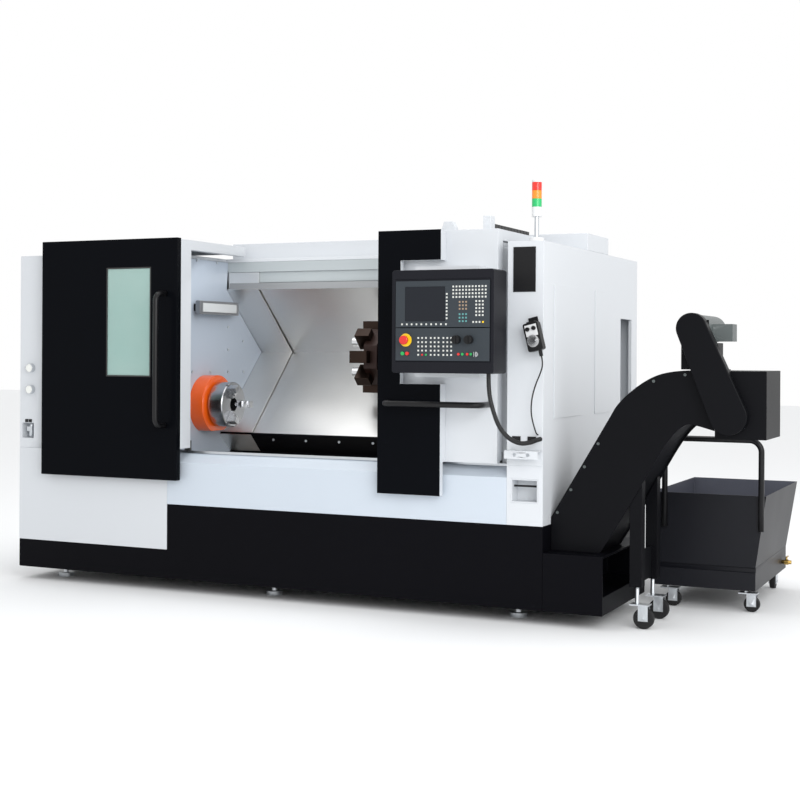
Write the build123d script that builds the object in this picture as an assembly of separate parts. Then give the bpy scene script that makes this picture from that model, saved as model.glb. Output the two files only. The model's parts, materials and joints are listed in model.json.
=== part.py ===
"""CNC turning lathe with sliding doors, operator panel, chip conveyor and chip cart.

Everything is drawn in machine coordinates first: x from the left end, y from the front
face towards the back, z from the floor. place() then moves it to the part's own frame,
whose origin is on the floor under the middle of the whole object's outline.
"""
import os
from math import cos, tan, radians, sqrt, pi
from build123d import *

# Main enclosure
BASE_LENGTH = 3190.0
DEPTH = 1675.0
FOOT_HEIGHT = 70.0
LOW_BASE_TOP = 229.0
BASE_TOP = 478.0
STEP_X = 1022.0
SEAM_Z = 756.0
SILL_FRONT_Z = 708.0
SILL_DEPTH = 100.0
TOP_Z = 1861.0
SHEET = 20.0
COLUMN_WIDTH = 186.0
COLUMN_X = BASE_LENGTH - COLUMN_WIDTH
SERVICE_COLUMN_WIDTH = 200.0
RECESS_Y = SILL_DEPTH + 12.0
WALL_X = 1000.0
WALL_SHEET = 12.0
RAIL_Y = 660.0
RAIL_LOW_Z = 1720.0
ROOF_BOX_FRONT = 700.0
ROOF_BOX_BACK = 1080.0
ROOF_BOX_TOP = 1953.0
GAP = 0.3

# Coolant tank at the right end
TANK_LENGTH = 300.0
TANK_DEPTH = 760.0
TANK_TOP = 352.0
TANK_WALL = 10.0
TANK_MOUTH_Z = 160.0

# Leading door
DOOR_LEFT = 205.0
DOOR_WIDTH = 917.0
DOOR_LOW = 614.0
DOOR_TOP = 1933.0
DOOR_FRONT = -60.0
SKIN = 38.0
POST_DEPTH = SILL_DEPTH + 36.0
POST_WIDTH = 42.0
POST_LOW = 785.0
DOOR_RAIL_HEIGHT = 14.0
HOOD_BACK = 640.0
HOOD_BEAM = 55.0
DOOR_TRAVEL = 842.0
WINDOW_X = 651.0
WINDOW_WIDTH = 298.0
WINDOW_LOW = 1174.0
WINDOW_HIGH = 1777.0

# Panel carrier, the second sliding leaf
CARRIER_LEFT = COLUMN_X - 674.0
STRIP_WIDTH = 345.0
CARRIER_WIDTH = 620.0
STRIP_LOW = 605.0
CARRIER_TOP = 1927.0
BODY_LOW = 772.0
BODY_FRONT = 9.0
BODY_DEPTH = 40.0
NOTCH_X = CARRIER_LEFT + 126.0
NOTCH_LOW = 1160.0
NOTCH_HIGH = 1775.0
CARRIER_TRAVEL = 362.0

# Operator panel
BOX_LEFT = CARRIER_LEFT + 207.0
BOX_WIDTH = 523.0
BOX_LOW = 1218.0
BOX_HIGH = 1709.0
BOX_FRONT = -330.0
BOX_DEPTH = 168.0
PLATE_WIDTH = 483.0
UPPER_PLATE = 220.0
LOWER_PLATE = 155.0
PLATE_THICK = 4.0
PLATE_LEFT = BOX_LEFT + 20.0
LOWER_PLATE_Z = 1277.0
PLATE_PROUD = 1.0
MUSHROOM_REACH = 36.0

# Machining room profile behind the tools, as y and z points
PROFILE_TOP = (637.0, 1681.0)
PROFILE_CREASE = (1041.0, 1314.0)
PROFILE_LOW = (575.0, 848.0)
PROFILE_FOOT = (686.0, 734.0)
COVER_SHEET = 4.0
COVER_GAP = 6.0
COVER_TRIM = 5.0
STRIP_END_X = 1213.0
COVER_LEFT = 1015.0
COVER_RIGHT = 2700.0

# Spindle, chuck and turret
SPINDLE_Y = 408.0
SPINDLE_Z = 1015.0
SPINDLE_R = 75.0
SPINDLE_BORE = 38.0
RUNNING = 0.05
CHUCK_R = 127.0
CHUCK_BACK_X = 1100.0
CHUCK_FACE_X = 1193.0
GUARD_R = 165.0
GUARD_FACE_X = 1088.0
GUARD_WALL = 6.0
JAW_WIDTH = 38.0
TURRET_Y = 700.0
TURRET_Z = 1290.0
TURRET_R = 168.0
TURRET_FACE_X = 1950.0
TURRET_THICK = 80.0
TURRET_STATIONS = 8
BLOCK_REACH = 210.0

# Chip conveyor
CONVEYOR_FRONT = 120.0
CONVEYOR_WIDTH = 360.0
CONVEYOR_PLATE = 6.0
LEG_X = BASE_LENGTH + 395.0
LEG_SIZE = 60.0
LEG_BOTTOM = 200.0
CASTER_R = 50.0
CASTER_TRAIL = 34.0
CASTER_STEM_R = 10.0
CASTER_PLATE_Z = 137.0
HOOD_LEFT = BASE_LENGTH + 800.0
HOOD_RIGHT = HOOD_LEFT + 237.0
HOOD_LOW = 921.0
HOOD_HIGH = 1238.0

# Chip cart
CART_LEFT = BASE_LENGTH + 330.0
CART_FRONT = 790.0
CART_LENGTH = 950.0
CART_WIDTH = 587.0
CART_RIM = 597.0
CART_FLOOR = 232.0
CART_WALL = 4.0
CART_TAPER = 52.0
CART_FRAME_LOW = 112.0
CART_FRAME_HIGH = 205.0
CART_WHEEL_R = 40.0

# Slanted bed, saddle and screw
BED_DEPTH = 92.0
RAIL_SIZE = 34.0
RAIL_HEIGHT = 16.0
RAIL_LOW_S = 190.0
RAIL_HIGH_S = 500.0
SADDLE_LEFT = 2010.0
SADDLE_RIGHT = 2330.0
SCREW_R = 18.0

# Controls and keys
CLEAR = 0.3
STEM_R = 9.0
BUTTON_R = 9.0
PANEL_HOLES = [
    (55, 98, STEM_R, "emergency_stop"),
    (39, 34, BUTTON_R, "green_start_button"),
    (63, 34, BUTTON_R, "red_stop_button"),
    (320, 100, STEM_R, "feed_knob"),
    (383, 100, STEM_R, "spindle_knob"),
    (418, 32, STEM_R, "key_switch"),
]
KEY_SIZE = 8.4

# Handwheel pendant
PENDANT_X = COLUMN_X + 156.0
PENDANT_Z = 1392.0
PENDANT_LEAN = 14.0
PENDANT_BACK = -26.0
PENDANT_THICK = 44.0

# Cords, as points in machine coordinates
HOSE_R = 10.0
HOSE_ROUTE = [
    (3001, -240, 1217.7),
    (3001, -240, 1130),
    (3022, -236, 1045),
    (3045, -222, 970),
    (3082, -190, 912),
    (3122, -140, 884),
    (3158, -92, 888),
    (3176, -46, 900),
    (3176, -1, 901),
]
PENDANT_CORD_R = 3.5
PENDANT_ROUTE = [
    (3196.8, -48, 1302.2),
    (3206, -48, 1265),
    (3190, -48, 1215),
    (3168, -50, 1165),
    (3152, -52, 1108),
    (3146, -52, 1050),
    (3150, -48, 1000),
    (3160, -38, 955),
    (3164, -22, 926),
    (3164, -1, 922),
]

NODES = {}


def place(shape):
    """Move a shape from machine coordinates to the part's own frame."""
    front = BOX_FRONT - PLATE_PROUD - MUSHROOM_REACH
    back = CART_FRONT + CART_LENGTH
    return Pos(-HOOD_RIGHT / 2, -(front + back) / 2, 0) * shape


def keep(name, *shapes):
    """Add solids to the node called name."""
    solids = NODES.setdefault(name, [])
    for shape in shapes:
        solids.extend(shape.solids())


def block(x0, x1, y0, y1, z0, z1):
    """A box between two opposite corners."""
    return Pos((x0 + x1) / 2, (y0 + y1) / 2, (z0 + z1) / 2) * Box(x1 - x0, y1 - y0, z1 - z0)


def along_x(points, x0, x1):
    """A closed outline of y and z points, drawn out from x0 to x1."""
    face = make_face(Polyline([(x0, y, z) for y, z in points], close=True))
    return extrude(face, amount=x1 - x0, dir=(1, 0, 0))


def along_y(points, y0, y1):
    """A closed outline of x and z points, drawn out from y0 to y1."""
    face = make_face(Polyline([(x, y0, z) for x, z in points], close=True))
    return extrude(face, amount=y1 - y0, dir=(0, 1, 0))


def rod_x(x0, x1, y, z, r):
    """A round bar along x."""
    return Pos((x0 + x1) / 2, y, z) * Rot(0, 90, 0) * Cylinder(r, x1 - x0)


def rod_y(x, y0, y1, z, r):
    """A round bar along y."""
    return Pos(x, (y0 + y1) / 2, z) * Rot(90, 0, 0) * Cylinder(r, y1 - y0)


def rod_z(x, y, z0, z1, r):
    """A round bar along z."""
    return Pos(x, y, (z0 + z1) / 2) * Cylinder(r, z1 - z0)


def bent_tube(points, radius, bend):
    """A round tube or bar that follows straight runs with equal bends."""
    path = FilletPolyline(*points, radius=bend)
    start = Plane(origin=path @ 0, z_dir=path % 0)
    return sweep(start * Circle(radius), path=path)


def make_base():
    """Welded base skirt with a step, its white end cover, and levelling feet."""
    skirt = along_y(
        [
            (0, FOOT_HEIGHT),
            (BASE_LENGTH, FOOT_HEIGHT),
            (BASE_LENGTH, BASE_TOP),
            (STEP_X, BASE_TOP),
            (STEP_X, LOW_BASE_TOP),
            (0, LOW_BASE_TOP),
        ],
        0,
        DEPTH,
    )
    keep("base_skirt", skirt)
    foot_r = 45.0
    inset = 190.0
    for x in (inset, BASE_LENGTH / 2, BASE_LENGTH - inset):
        for y in (inset, DEPTH - inset):
            pad = rod_z(x, y, 0, 22, foot_r)
            stud = rod_z(x, y, 22, FOOT_HEIGHT, 14)
            keep("base_skirt", pad + stud)


def make_tank():
    """Coolant tank that slides in under the right end, open at its far side."""
    x0 = BASE_LENGTH
    x1 = BASE_LENGTH + TANK_LENGTH
    tank = block(x0, x1, 0, TANK_DEPTH, FOOT_HEIGHT, TANK_TOP)
    mouth = block(
        x0 + TANK_LENGTH / 3,
        x1 + 1,
        TANK_WALL,
        TANK_DEPTH - TANK_WALL,
        TANK_MOUTH_Z,
        TANK_TOP - TANK_WALL,
    )
    keep("coolant_tank", tank - mouth)
    pump_x = x0 + 105
    pump_y = CONVEYOR_FRONT + CONVEYOR_WIDTH + 110
    pump = rod_z(pump_x, pump_y, TANK_TOP, TANK_TOP + 18, 75)
    pump += rod_z(pump_x, pump_y, TANK_TOP + 18, TANK_TOP + 210, 52)
    pump += rod_z(pump_x, pump_y, TANK_TOP + 210, TANK_TOP + 235, 60)
    keep("coolant_tank", pump)


def make_left_cabinet():
    """White sheet cabinet over the headstock: a service column and a recessed shell."""
    outer = block(0, WALL_X - WALL_SHEET, RECESS_Y, DEPTH, SEAM_Z, TOP_Z)
    outer += block(0, SERVICE_COLUMN_WIDTH, 0, RECESS_Y, SEAM_Z, TOP_Z)
    inner = block(
        SHEET,
        WALL_X,
        RECESS_Y + SHEET,
        DEPTH - SHEET,
        SEAM_Z - 1,
        TOP_Z - SHEET,
    )
    recess = block(18, 100, -1, 60, 812, 898)
    keep("left_cabinet", outer - inner - recess)
    lower = block(0, STEP_X, 0, SILL_DEPTH, LOW_BASE_TOP, SEAM_Z)
    keep("left_lower_panel", lower)
    back = block(0, STEP_X, DEPTH - SHEET, DEPTH, LOW_BASE_TOP, BASE_TOP)
    back += block(0, WALL_X - WALL_SHEET, DEPTH - SHEET, DEPTH, BASE_TOP, SEAM_Z)
    side = block(0, SHEET, SILL_DEPTH, DEPTH - SHEET, LOW_BASE_TOP, SEAM_Z)
    keep("left_lower_panel", back + side)
    for z in (1092.0, 1215.0):
        gauge = rod_y(84, -26, 0, z, 26) - rod_y(84, -27, -20, z, 22)
        keep("left_cabinet", gauge)
        keep("left_cabinet", rod_y(84, -24, -20, z, 22 - GAP / 10))


def make_service_unit():
    """Air regulator with its filter bowl, inside the recess of the service column."""
    body = block(40, 78, 14, 50, 850, 876)
    body += rod_z(59, 32, 820, 850, 14)
    body += rod_z(59, 32, 876, 890, 11)
    mount = block(50, 68, 50, 60, 856, 870)
    keep("left_cabinet", body + mount)
    for x in (40.0, 66.0):
        keep("left_cabinet", block(x, x + 22, -3, 0, 902, 920))


def make_machining_room():
    """Inner walls, sill, covers and tray of the machining room."""
    wall = along_x(
        [
            (RECESS_Y + SHEET + 2, SEAM_Z - 40),
            (RECESS_Y + SHEET + 2, TOP_Z - SHEET),
            (RAIL_Y - 10, TOP_Z - SHEET),
            PROFILE_TOP,
            PROFILE_CREASE,
            PROFILE_LOW,
            PROFILE_FOOT,
            (PROFILE_FOOT[0], SEAM_Z - 40),
        ],
        WALL_X - WALL_SHEET,
        WALL_X,
    )
    wall -= rod_x(WALL_X - WALL_SHEET - 1, WALL_X + 1, SPINDLE_Y, SPINDLE_Z, SPINDLE_R + 12)
    keep("headstock_wall", wall)
    sill = along_x(
        [
            (0, BASE_TOP),
            (0, SILL_FRONT_Z),
            (SILL_DEPTH - 8, SEAM_Z),
            (SILL_DEPTH, SEAM_Z),
            (SILL_DEPTH, BASE_TOP),
        ],
        STEP_X,
        COLUMN_X,
    )
    keep("front_sill", sill)
    track_y = SILL_DEPTH - 8
    rail = block(SERVICE_COLUMN_WIDTH, COLUMN_X, track_y - 8, track_y, SEAM_Z, SEAM_Z + DOOR_RAIL_HEIGHT)
    keep("front_sill", rail)
    top_rail = block(WALL_X, COLUMN_X, RAIL_Y, RAIL_Y + 30, RAIL_LOW_Z, TOP_Z - SHEET)
    top_rail += block(WALL_X, COLUMN_X, RAIL_Y - 14, RAIL_Y, RAIL_LOW_Z + 62, TOP_Z - SHEET)
    keep("roof_panel", top_rail)
    roof = block(WALL_X - WALL_SHEET, COLUMN_X, RAIL_Y - 14, DEPTH, TOP_Z - SHEET, TOP_Z)
    keep("roof_panel", roof)
    roof_box = block(WALL_X, BASE_LENGTH, ROOF_BOX_FRONT, ROOF_BOX_BACK, TOP_Z, ROOF_BOX_TOP)
    keep("roof_panel", roof_box)
    back = block(WALL_X - WALL_SHEET, COLUMN_X, DEPTH - SHEET, DEPTH, BASE_TOP, TOP_Z - SHEET)
    keep("rear_panel", back)


def offset_profile(depth):
    """The room's profile moved back by a depth behind its visible face."""
    top, crease, low = Vector(*PROFILE_TOP), Vector(*PROFILE_CREASE), Vector(*PROFILE_LOW)
    up = (top - crease).normalized()
    down = (crease - low).normalized()
    behind_up = Vector(up.Y, -up.X)
    behind_down = Vector(down.Y, -down.X)
    mitre = (behind_up + behind_down) / (1 + behind_up.dot(behind_down))
    points = [top + behind_up * depth, crease + mitre * depth, low + behind_down * depth]
    return [(point.X, point.Y) for point in points]


def folded_cover(near, far, x0, x1, trim=0):
    """A folded sheet between two depths behind the profile, trimmed at its low edge."""
    near_top, near_crease, near_low = offset_profile(near)
    far_top, far_crease, far_low = offset_profile(far)
    step = trim / sqrt(2)
    near_low = (near_low[0] + step, near_low[1] + step)
    far_low = (far_low[0] + step, far_low[1] + step)
    outline = [near_top, near_crease, near_low, far_low, far_crease, far_top]
    return along_x(outline, x0, x1)


def make_way_covers():
    """Stainless way covers: a fixed strip at the wall, the sliding cover, and the apron."""
    keep("fixed_cover_strip", folded_cover(0, COVER_SHEET, WALL_X, STRIP_END_X))
    near = COVER_SHEET + COVER_GAP
    cover = folded_cover(near, near + COVER_SHEET, COVER_LEFT, COVER_RIGHT, COVER_TRIM)
    keep("sliding_cover", cover)
    low_y, low_z = PROFILE_LOW
    foot_y, foot_z = PROFILE_FOOT
    apron = along_x(
        [
            (low_y, low_z - 1),
            (low_y + 12, low_z - 14),
            (foot_y + 8, foot_z),
            (foot_y + 8, foot_z - 34),
            (foot_y - 6, foot_z - 34),
            (foot_y - 6, foot_z),
            (low_y - 4, low_z - 12),
        ],
        WALL_X,
        COLUMN_X - 20,
    )
    keep("apron", apron)
    tray = along_x(
        [
            (SILL_DEPTH, BASE_TOP + 110),
            (SILL_DEPTH, BASE_TOP + 120),
            (330, BASE_TOP + 120),
            (foot_y - 8, 700),
            (foot_y - 8, 690),
            (336, BASE_TOP + 110),
        ],
        STEP_X + 2,
        COLUMN_X - 20,
    )
    keep("apron", tray)


def slope_block(s0, s1, n0, n1, x0, x1):
    """A box on the slanted bed: s up the slope from the profile's low edge, n behind it."""
    y0, z0 = PROFILE_LOW
    k = 1 / sqrt(2)
    corners = []
    for s, n in ((s0, n0), (s1, n0), (s1, n1), (s0, n1)):
        corners.append((y0 + (s + n) * k, z0 + (s - n) * k))
    return along_x(corners, x0, x1)


def make_bed():
    """Slanted bed casting with two guide rails and the ball screw in its groove."""
    y0, z0 = PROFILE_LOW
    k = 1 / sqrt(2)
    low_y = y0 + (95 + BED_DEPTH) * k
    low_z = z0 + (95 - BED_DEPTH) * k
    high_y = y0 + (620 + BED_DEPTH) * k
    high_z = z0 + (620 - BED_DEPTH) * k
    bed = along_x(
        [
            (low_y, BASE_TOP),
            (low_y, low_z),
            (high_y, high_z),
            (high_y + 190, high_z),
            (DEPTH - 190, BASE_TOP),
        ],
        WALL_X + 60,
        COLUMN_X - 60,
    )
    mid = (RAIL_LOW_S + RAIL_HIGH_S) / 2
    groove = slope_block(mid - 45, mid + 45, BED_DEPTH - 1, BED_DEPTH + 70, WALL_X, COLUMN_X)
    end_blocks_left = slope_block(mid - 45, mid + 45, BED_DEPTH, BED_DEPTH + 70, 1060, 1130)
    end_blocks_right = slope_block(mid - 45, mid + 45, BED_DEPTH, BED_DEPTH + 70, 2860, 2944)
    screw_y = y0 + (mid + BED_DEPTH + 34) * k
    screw_z = z0 + (mid - BED_DEPTH - 34) * k
    bore = rod_x(WALL_X, COLUMN_X, screw_y, screw_z, SCREW_R + RUNNING)
    bed = bed - groove + end_blocks_left + end_blocks_right - bore
    keep("slant_bed", bed)
    for s in (RAIL_LOW_S, RAIL_HIGH_S):
        low = s - RAIL_SIZE / 2
        rail = slope_block(low, low + RAIL_SIZE, BED_DEPTH - RAIL_HEIGHT, BED_DEPTH, 1070, 2934)
        keep("slant_bed", rail)
    keep("ball_screw", rod_x(1066, 2938, screw_y, screw_z, SCREW_R))
    nut = slope_block(mid - 30, mid + 30, BED_DEPTH - 20, BED_DEPTH + 62, 2120, 2210)
    nut -= rod_x(2100, 2230, screw_y, screw_z, SCREW_R + RUNNING)
    near = 2 * COVER_SHEET + COVER_GAP
    top = BED_DEPTH - RAIL_HEIGHT - GAP
    plate = slope_block(RAIL_LOW_S - 60, RAIL_HIGH_S + 60, near, top, SADDLE_LEFT, SADDLE_RIGHT)
    saddle = plate + nut
    keep("saddle", saddle)


def make_headstock():
    """Headstock casting, hollow spindle, orange spindle guard and the work lamp."""
    head = along_x(
        [
            (SPINDLE_Y - 190, LOW_BASE_TOP),
            (SPINDLE_Y - 190, SPINDLE_Z + 80),
            (SPINDLE_Y - 100, SPINDLE_Z + 150),
            (SPINDLE_Y + 90, SPINDLE_Z + 150),
            (SPINDLE_Y + 130, SPINDLE_Z + 40),
            (SPINDLE_Y + 110, SPINDLE_Z - 150),
            (SPINDLE_Y + 110, LOW_BASE_TOP),
        ],
        300,
        WALL_X - WALL_SHEET - 4,
    )
    head -= rod_x(290, WALL_X, SPINDLE_Y, SPINDLE_Z, SPINDLE_R + RUNNING)
    keep("headstock", head)
    spindle = rod_x(250, CHUCK_BACK_X, SPINDLE_Y, SPINDLE_Z, SPINDLE_R)
    spindle += rod_x(250, 286, SPINDLE_Y, SPINDLE_Z, SPINDLE_R + 45)
    spindle -= rod_x(249, CHUCK_BACK_X + 1, SPINDLE_Y, SPINDLE_Z, SPINDLE_BORE)
    keep("spindle", spindle)
    guard = rod_x(WALL_X, GUARD_FACE_X, SPINDLE_Y, SPINDLE_Z, GUARD_R)
    guard -= rod_x(
        WALL_X - 1, GUARD_FACE_X - GUARD_WALL, SPINDLE_Y, SPINDLE_Z, GUARD_R - GUARD_WALL
    )
    guard -= rod_x(WALL_X, GUARD_FACE_X + 1, SPINDLE_Y, SPINDLE_Z, SPINDLE_R + 16)
    cut = block(
        WALL_X - 1,
        GUARD_FACE_X + 1,
        SPINDLE_Y - GUARD_R,
        SPINDLE_Y + GUARD_R,
        SPINDLE_Z - GUARD_R - 1,
        SPINDLE_Z - GUARD_R + 14,
    )
    keep("spindle_guard", guard - cut)
    lamp_z = 1562.0
    lamp = rod_y(WALL_X + 42, 190, 671, lamp_z, 26)
    for y in (230.0, 620.0):
        lamp += block(WALL_X, WALL_X + 42, y - 15, y + 15, lamp_z - 22, lamp_z + 22)
    keep("headstock_wall", lamp)


def make_chuck():
    """Three-jaw power chuck with stepped jaws on radial guides."""
    body = rod_x(CHUCK_BACK_X, CHUCK_FACE_X, SPINDLE_Y, SPINDLE_Z, CHUCK_R)
    body = chamfer(body.edges().filter_by(GeomType.CIRCLE), 4)
    body -= rod_x(CHUCK_BACK_X - 1, CHUCK_FACE_X + 1, SPINDLE_Y, SPINDLE_Z, SPINDLE_BORE)
    slot_depth = 14.0
    half = JAW_WIDTH / 2
    face = CHUCK_FACE_X
    axis = Pos(0, SPINDLE_Y, SPINDLE_Z)
    for number, angle in enumerate((30, 150, 270), start=1):
        turn = axis * Rot(angle, 0, 0)
        slot = block(face - slot_depth, face + 1, -9 - GAP, 9 + GAP, SPINDLE_BORE - 2, CHUCK_R + 1)
        body -= turn * slot
        jaw = block(face - slot_depth + GAP, face + 2, -9, 9, 52, 116)
        jaw += block(face + GAP, face + 22, -half, half, 50, 118)
        jaw += block(face + 20, face + 40, -half, half, 66, 118)
        jaw += block(face + 38, face + 56, -half, half, 86, 118)
        keep(f"chuck_jaw_{number}", turn * jaw)
    keep("chuck_body", body)


def make_turret():
    """Tool turret: slide block, disc, and tool blocks at its stations."""
    k = 1 / sqrt(2)
    y0, z0 = PROFILE_LOW
    along = (TURRET_Y - y0 + TURRET_Z - z0) * k
    behind = (TURRET_Y - y0 - (TURRET_Z - z0)) * k
    left = TURRET_FACE_X + TURRET_THICK + GAP
    right = left + 270
    foot_face = COVER_SHEET + COVER_GAP - GAP
    foot = slope_block(along - 150, along + 90, -70, foot_face, left + 6, right)
    body = slope_block(along - 112, along + 112, behind - 105, -70, left + 6, right)
    hub = rod_x(left, left + 6, TURRET_Y, TURRET_Z, 100)
    keep("turret_slide", foot + body + hub)
    x0 = TURRET_FACE_X
    disc = rod_x(x0, x0 + TURRET_THICK, TURRET_Y, TURRET_Z, TURRET_R)
    flat = TURRET_R * cos(pi / TURRET_STATIONS)
    axis = Pos(0, TURRET_Y, TURRET_Z)
    turns = [axis * Rot(360 / TURRET_STATIONS * n, 0, 0) for n in range(TURRET_STATIONS)]
    for turn in turns:
        disc -= turn * block(x0 - 1, x0 + TURRET_THICK + 1, -90, 90, flat, TURRET_R + 9)
    disc += rod_x(x0 - 12, x0, TURRET_Y, TURRET_Z, 62)
    keep("turret_disc", disc)
    for turn in turns[0::2]:
        holder = block(x0 - 66, x0, -34, 34, 92, flat)
        holder += block(x0 - 66, x0 + 40, -34, 34, flat, BLOCK_REACH - 8)
        keep("tool_holders", turn * holder)
        keep("tool_holders", turn * block(x0 - 92, x0 - 66, -11, 11, 118, 140))
    for turn in turns[1::2]:
        holder = block(x0 - 58, x0, -30, 30, 88, flat)
        holder += block(x0 - 58, x0 + 30, -30, 30, flat, BLOCK_REACH - 14)
        nut = turn * Pos(x0 - 77, 0, 122) * Rot(0, 90, 0) * Cylinder(27, 38)
        nut -= turn * Pos(x0 - 84, 0, 122) * Rot(0, 90, 0) * Cylinder(11, 28)
        keep("tool_holders", turn * holder)
        keep("tool_holders", nut)


def hood_frame(x0, x1, top):
    """Posts behind a door's skin, joined by roof beams and a roof sheet."""
    y0 = DOOR_FRONT + SKIN
    y1 = DOOR_FRONT + POST_DEPTH
    low = top - HOOD_BEAM
    frame = block(x0, x1, y0, HOOD_BACK, top - 4, top)
    for x in (x0, x1 - POST_WIDTH):
        frame += block(x, x + POST_WIDTH, y0, y1, POST_LOW, top)
        frame += block(x, x + POST_WIDTH, y0, HOOD_BACK, low, top)
    frame += block(x0, x1, HOOD_BACK - 6, HOOD_BACK, low + 14, top)
    return frame


def make_door():
    """Sliding hood door: skin with a window, white frame and roof, and a tube handle."""
    x0 = DOOR_LEFT
    x1 = DOOR_LEFT + DOOR_WIDTH
    y0 = DOOR_FRONT
    wx1 = WINDOW_X + WINDOW_WIDTH
    skin = block(x0, x1, y0, y0 + SKIN, DOOR_LOW, DOOR_TOP)
    skin -= block(WINDOW_X, wx1, y0 - 1, y0 + SKIN + 1, WINDOW_LOW, WINDOW_HIGH)
    keep("door_skin", skin)
    keep("door_window", block(WINDOW_X, wx1, y0 + 6, y0 + 16, WINDOW_LOW, WINDOW_HIGH))
    keep("door_frame", hood_frame(x0, x1, DOOR_TOP - 5))
    handle_x = x1 - 78.0
    reach = y0 - 88.0
    ends = [(handle_x, y0, 1629), (handle_x, reach, 1629)]
    ends += [(handle_x, reach, 911), (handle_x, y0, 911)]
    keep("door_skin", bent_tube(ends, 15, 45))
    keep("door_frame", *guide_shoes(x0, x1))


def guide_shoes(x0, x1):
    """Plastic shoes behind a leaf's posts, which glide on the lower rail."""
    y0 = DOOR_FRONT + POST_DEPTH
    low = SEAM_Z + DOOR_RAIL_HEIGHT + GAP
    shoes = []
    for x in (x0 + POST_WIDTH / 2, x1 - POST_WIDTH / 2):
        shoes.append(block(x - 18, x + 18, y0, SILL_DEPTH - 8, low, POST_LOW + 40))
    return shoes


def make_carrier():
    """Second sliding leaf: white body with a black strip, carrying the operator panel."""
    x0 = CARRIER_LEFT
    x1 = CARRIER_LEFT + CARRIER_WIDTH
    strip_x1 = x0 + STRIP_WIDTH
    y0 = DOOR_FRONT
    strip = block(x0, strip_x1, y0, y0 + SKIN, STRIP_LOW, CARRIER_TOP)
    strip -= block(NOTCH_X, strip_x1 + 1, y0 - 1, y0 + SKIN + 1, NOTCH_LOW, NOTCH_HIGH)
    side = block(strip_x1 - 5, strip_x1, y0 + SKIN, BODY_FRONT, BODY_LOW, NOTCH_LOW)
    side += block(strip_x1 - 5, strip_x1, y0 + SKIN, BODY_FRONT, NOTCH_HIGH, CARRIER_TOP)
    keep("carrier_strip", strip + side)
    body = block(x0, x1, BODY_FRONT, BODY_FRONT + BODY_DEPTH, BODY_LOW, CARRIER_TOP)
    roof_low = CARRIER_TOP - HOOD_BEAM
    roof = block(x0, x1, BODY_FRONT + BODY_DEPTH, HOOD_BACK, CARRIER_TOP - 4, CARRIER_TOP)
    back_y = DOOR_FRONT + POST_DEPTH
    for x in (x0, x1 - POST_WIDTH):
        roof += block(x, x + POST_WIDTH, BODY_FRONT + BODY_DEPTH, HOOD_BACK, roof_low, CARRIER_TOP)
        roof += block(x, x + POST_WIDTH, BODY_FRONT + BODY_DEPTH, back_y, POST_LOW, CARRIER_TOP)
    keep("carrier_body", body + roof)
    keep("carrier_body", *guide_shoes(x0, x1))
    handle_z = 1062.0
    reach = y0 - 70.0
    right = x1 - 44.0
    ends = [(x0 + 62, y0, handle_z), (x0 + 62, reach, handle_z)]
    ends += [(right, reach, handle_z), (right, BODY_FRONT, handle_z)]
    keep("carrier_strip", bent_tube(ends, 15, 40))


def make_control_box():
    """Operator panel housing on its bracket, with the plates of its two units."""
    x0 = BOX_LEFT
    x1 = BOX_LEFT + BOX_WIDTH
    y1 = BOX_FRONT + BOX_DEPTH
    wall = 12.0
    box = block(x0, x1, BOX_FRONT, y1, BOX_LOW, BOX_HIGH)
    box = chamfer(box.edges().filter_by(Axis.Y), 8)
    seat = BOX_FRONT + PLATE_THICK
    box -= block(PLATE_LEFT - 5, PLATE_LEFT + PLATE_WIDTH + 5, BOX_FRONT - 1, seat, 1272, 1665)
    upper_z = LOWER_PLATE_Z + LOWER_PLATE + 4
    inside = block(x0 + wall, x1 - wall, seat + wall, y1 - wall, BOX_LOW + wall, BOX_HIGH - wall)
    window = block(PLATE_LEFT + 20, PLATE_LEFT + 463, seat - 1, seat + wall + 1, 1290, 1650)
    keep("control_box", box - inside - window)
    bracket = block(x0 + 30, x1 - 60, y1, y1 + 60, BOX_LOW + 60, BOX_HIGH - 60)
    arm_x = CARRIER_LEFT + STRIP_WIDTH
    bracket += block(NOTCH_X + 100, arm_x + 225, y1 + 60, BODY_FRONT, 1195, 1740)
    keep("carrier_body", bracket)
    right = PLATE_LEFT + PLATE_WIDTH
    plate_y = BOX_FRONT - PLATE_PROUD
    lower = block(PLATE_LEFT, right, plate_y, seat, LOWER_PLATE_Z, LOWER_PLATE_Z + LOWER_PLATE)
    upper = block(PLATE_LEFT, right, plate_y, seat, upper_z, upper_z + UPPER_PLATE)
    screen_x0 = PLATE_LEFT + 49
    screen_x1 = screen_x0 + 208
    screen_z0 = upper_z + 28
    screen_z1 = screen_z0 + 165
    upper -= block(screen_x0, screen_x1, plate_y - 1, seat + 1, screen_z0, screen_z1)
    keep("panel_plates", block(screen_x0, screen_x1, plate_y + 2, seat, screen_z0, screen_z1))
    for x, z, r, name in PANEL_HOLES:
        lower -= rod_y(PLATE_LEFT + x, plate_y - 1, seat + 1, LOWER_PLATE_Z + z, r + CLEAR)
    keep("panel_plates", lower)
    keep("panel_plates", upper)


def panel_spot(name):
    """The place of a control on the machine plate."""
    for x, z, r, label in PANEL_HOLES:
        if label == name:
            return PLATE_LEFT + x, LOWER_PLATE_Z + z
    raise ValueError(name)


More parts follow.
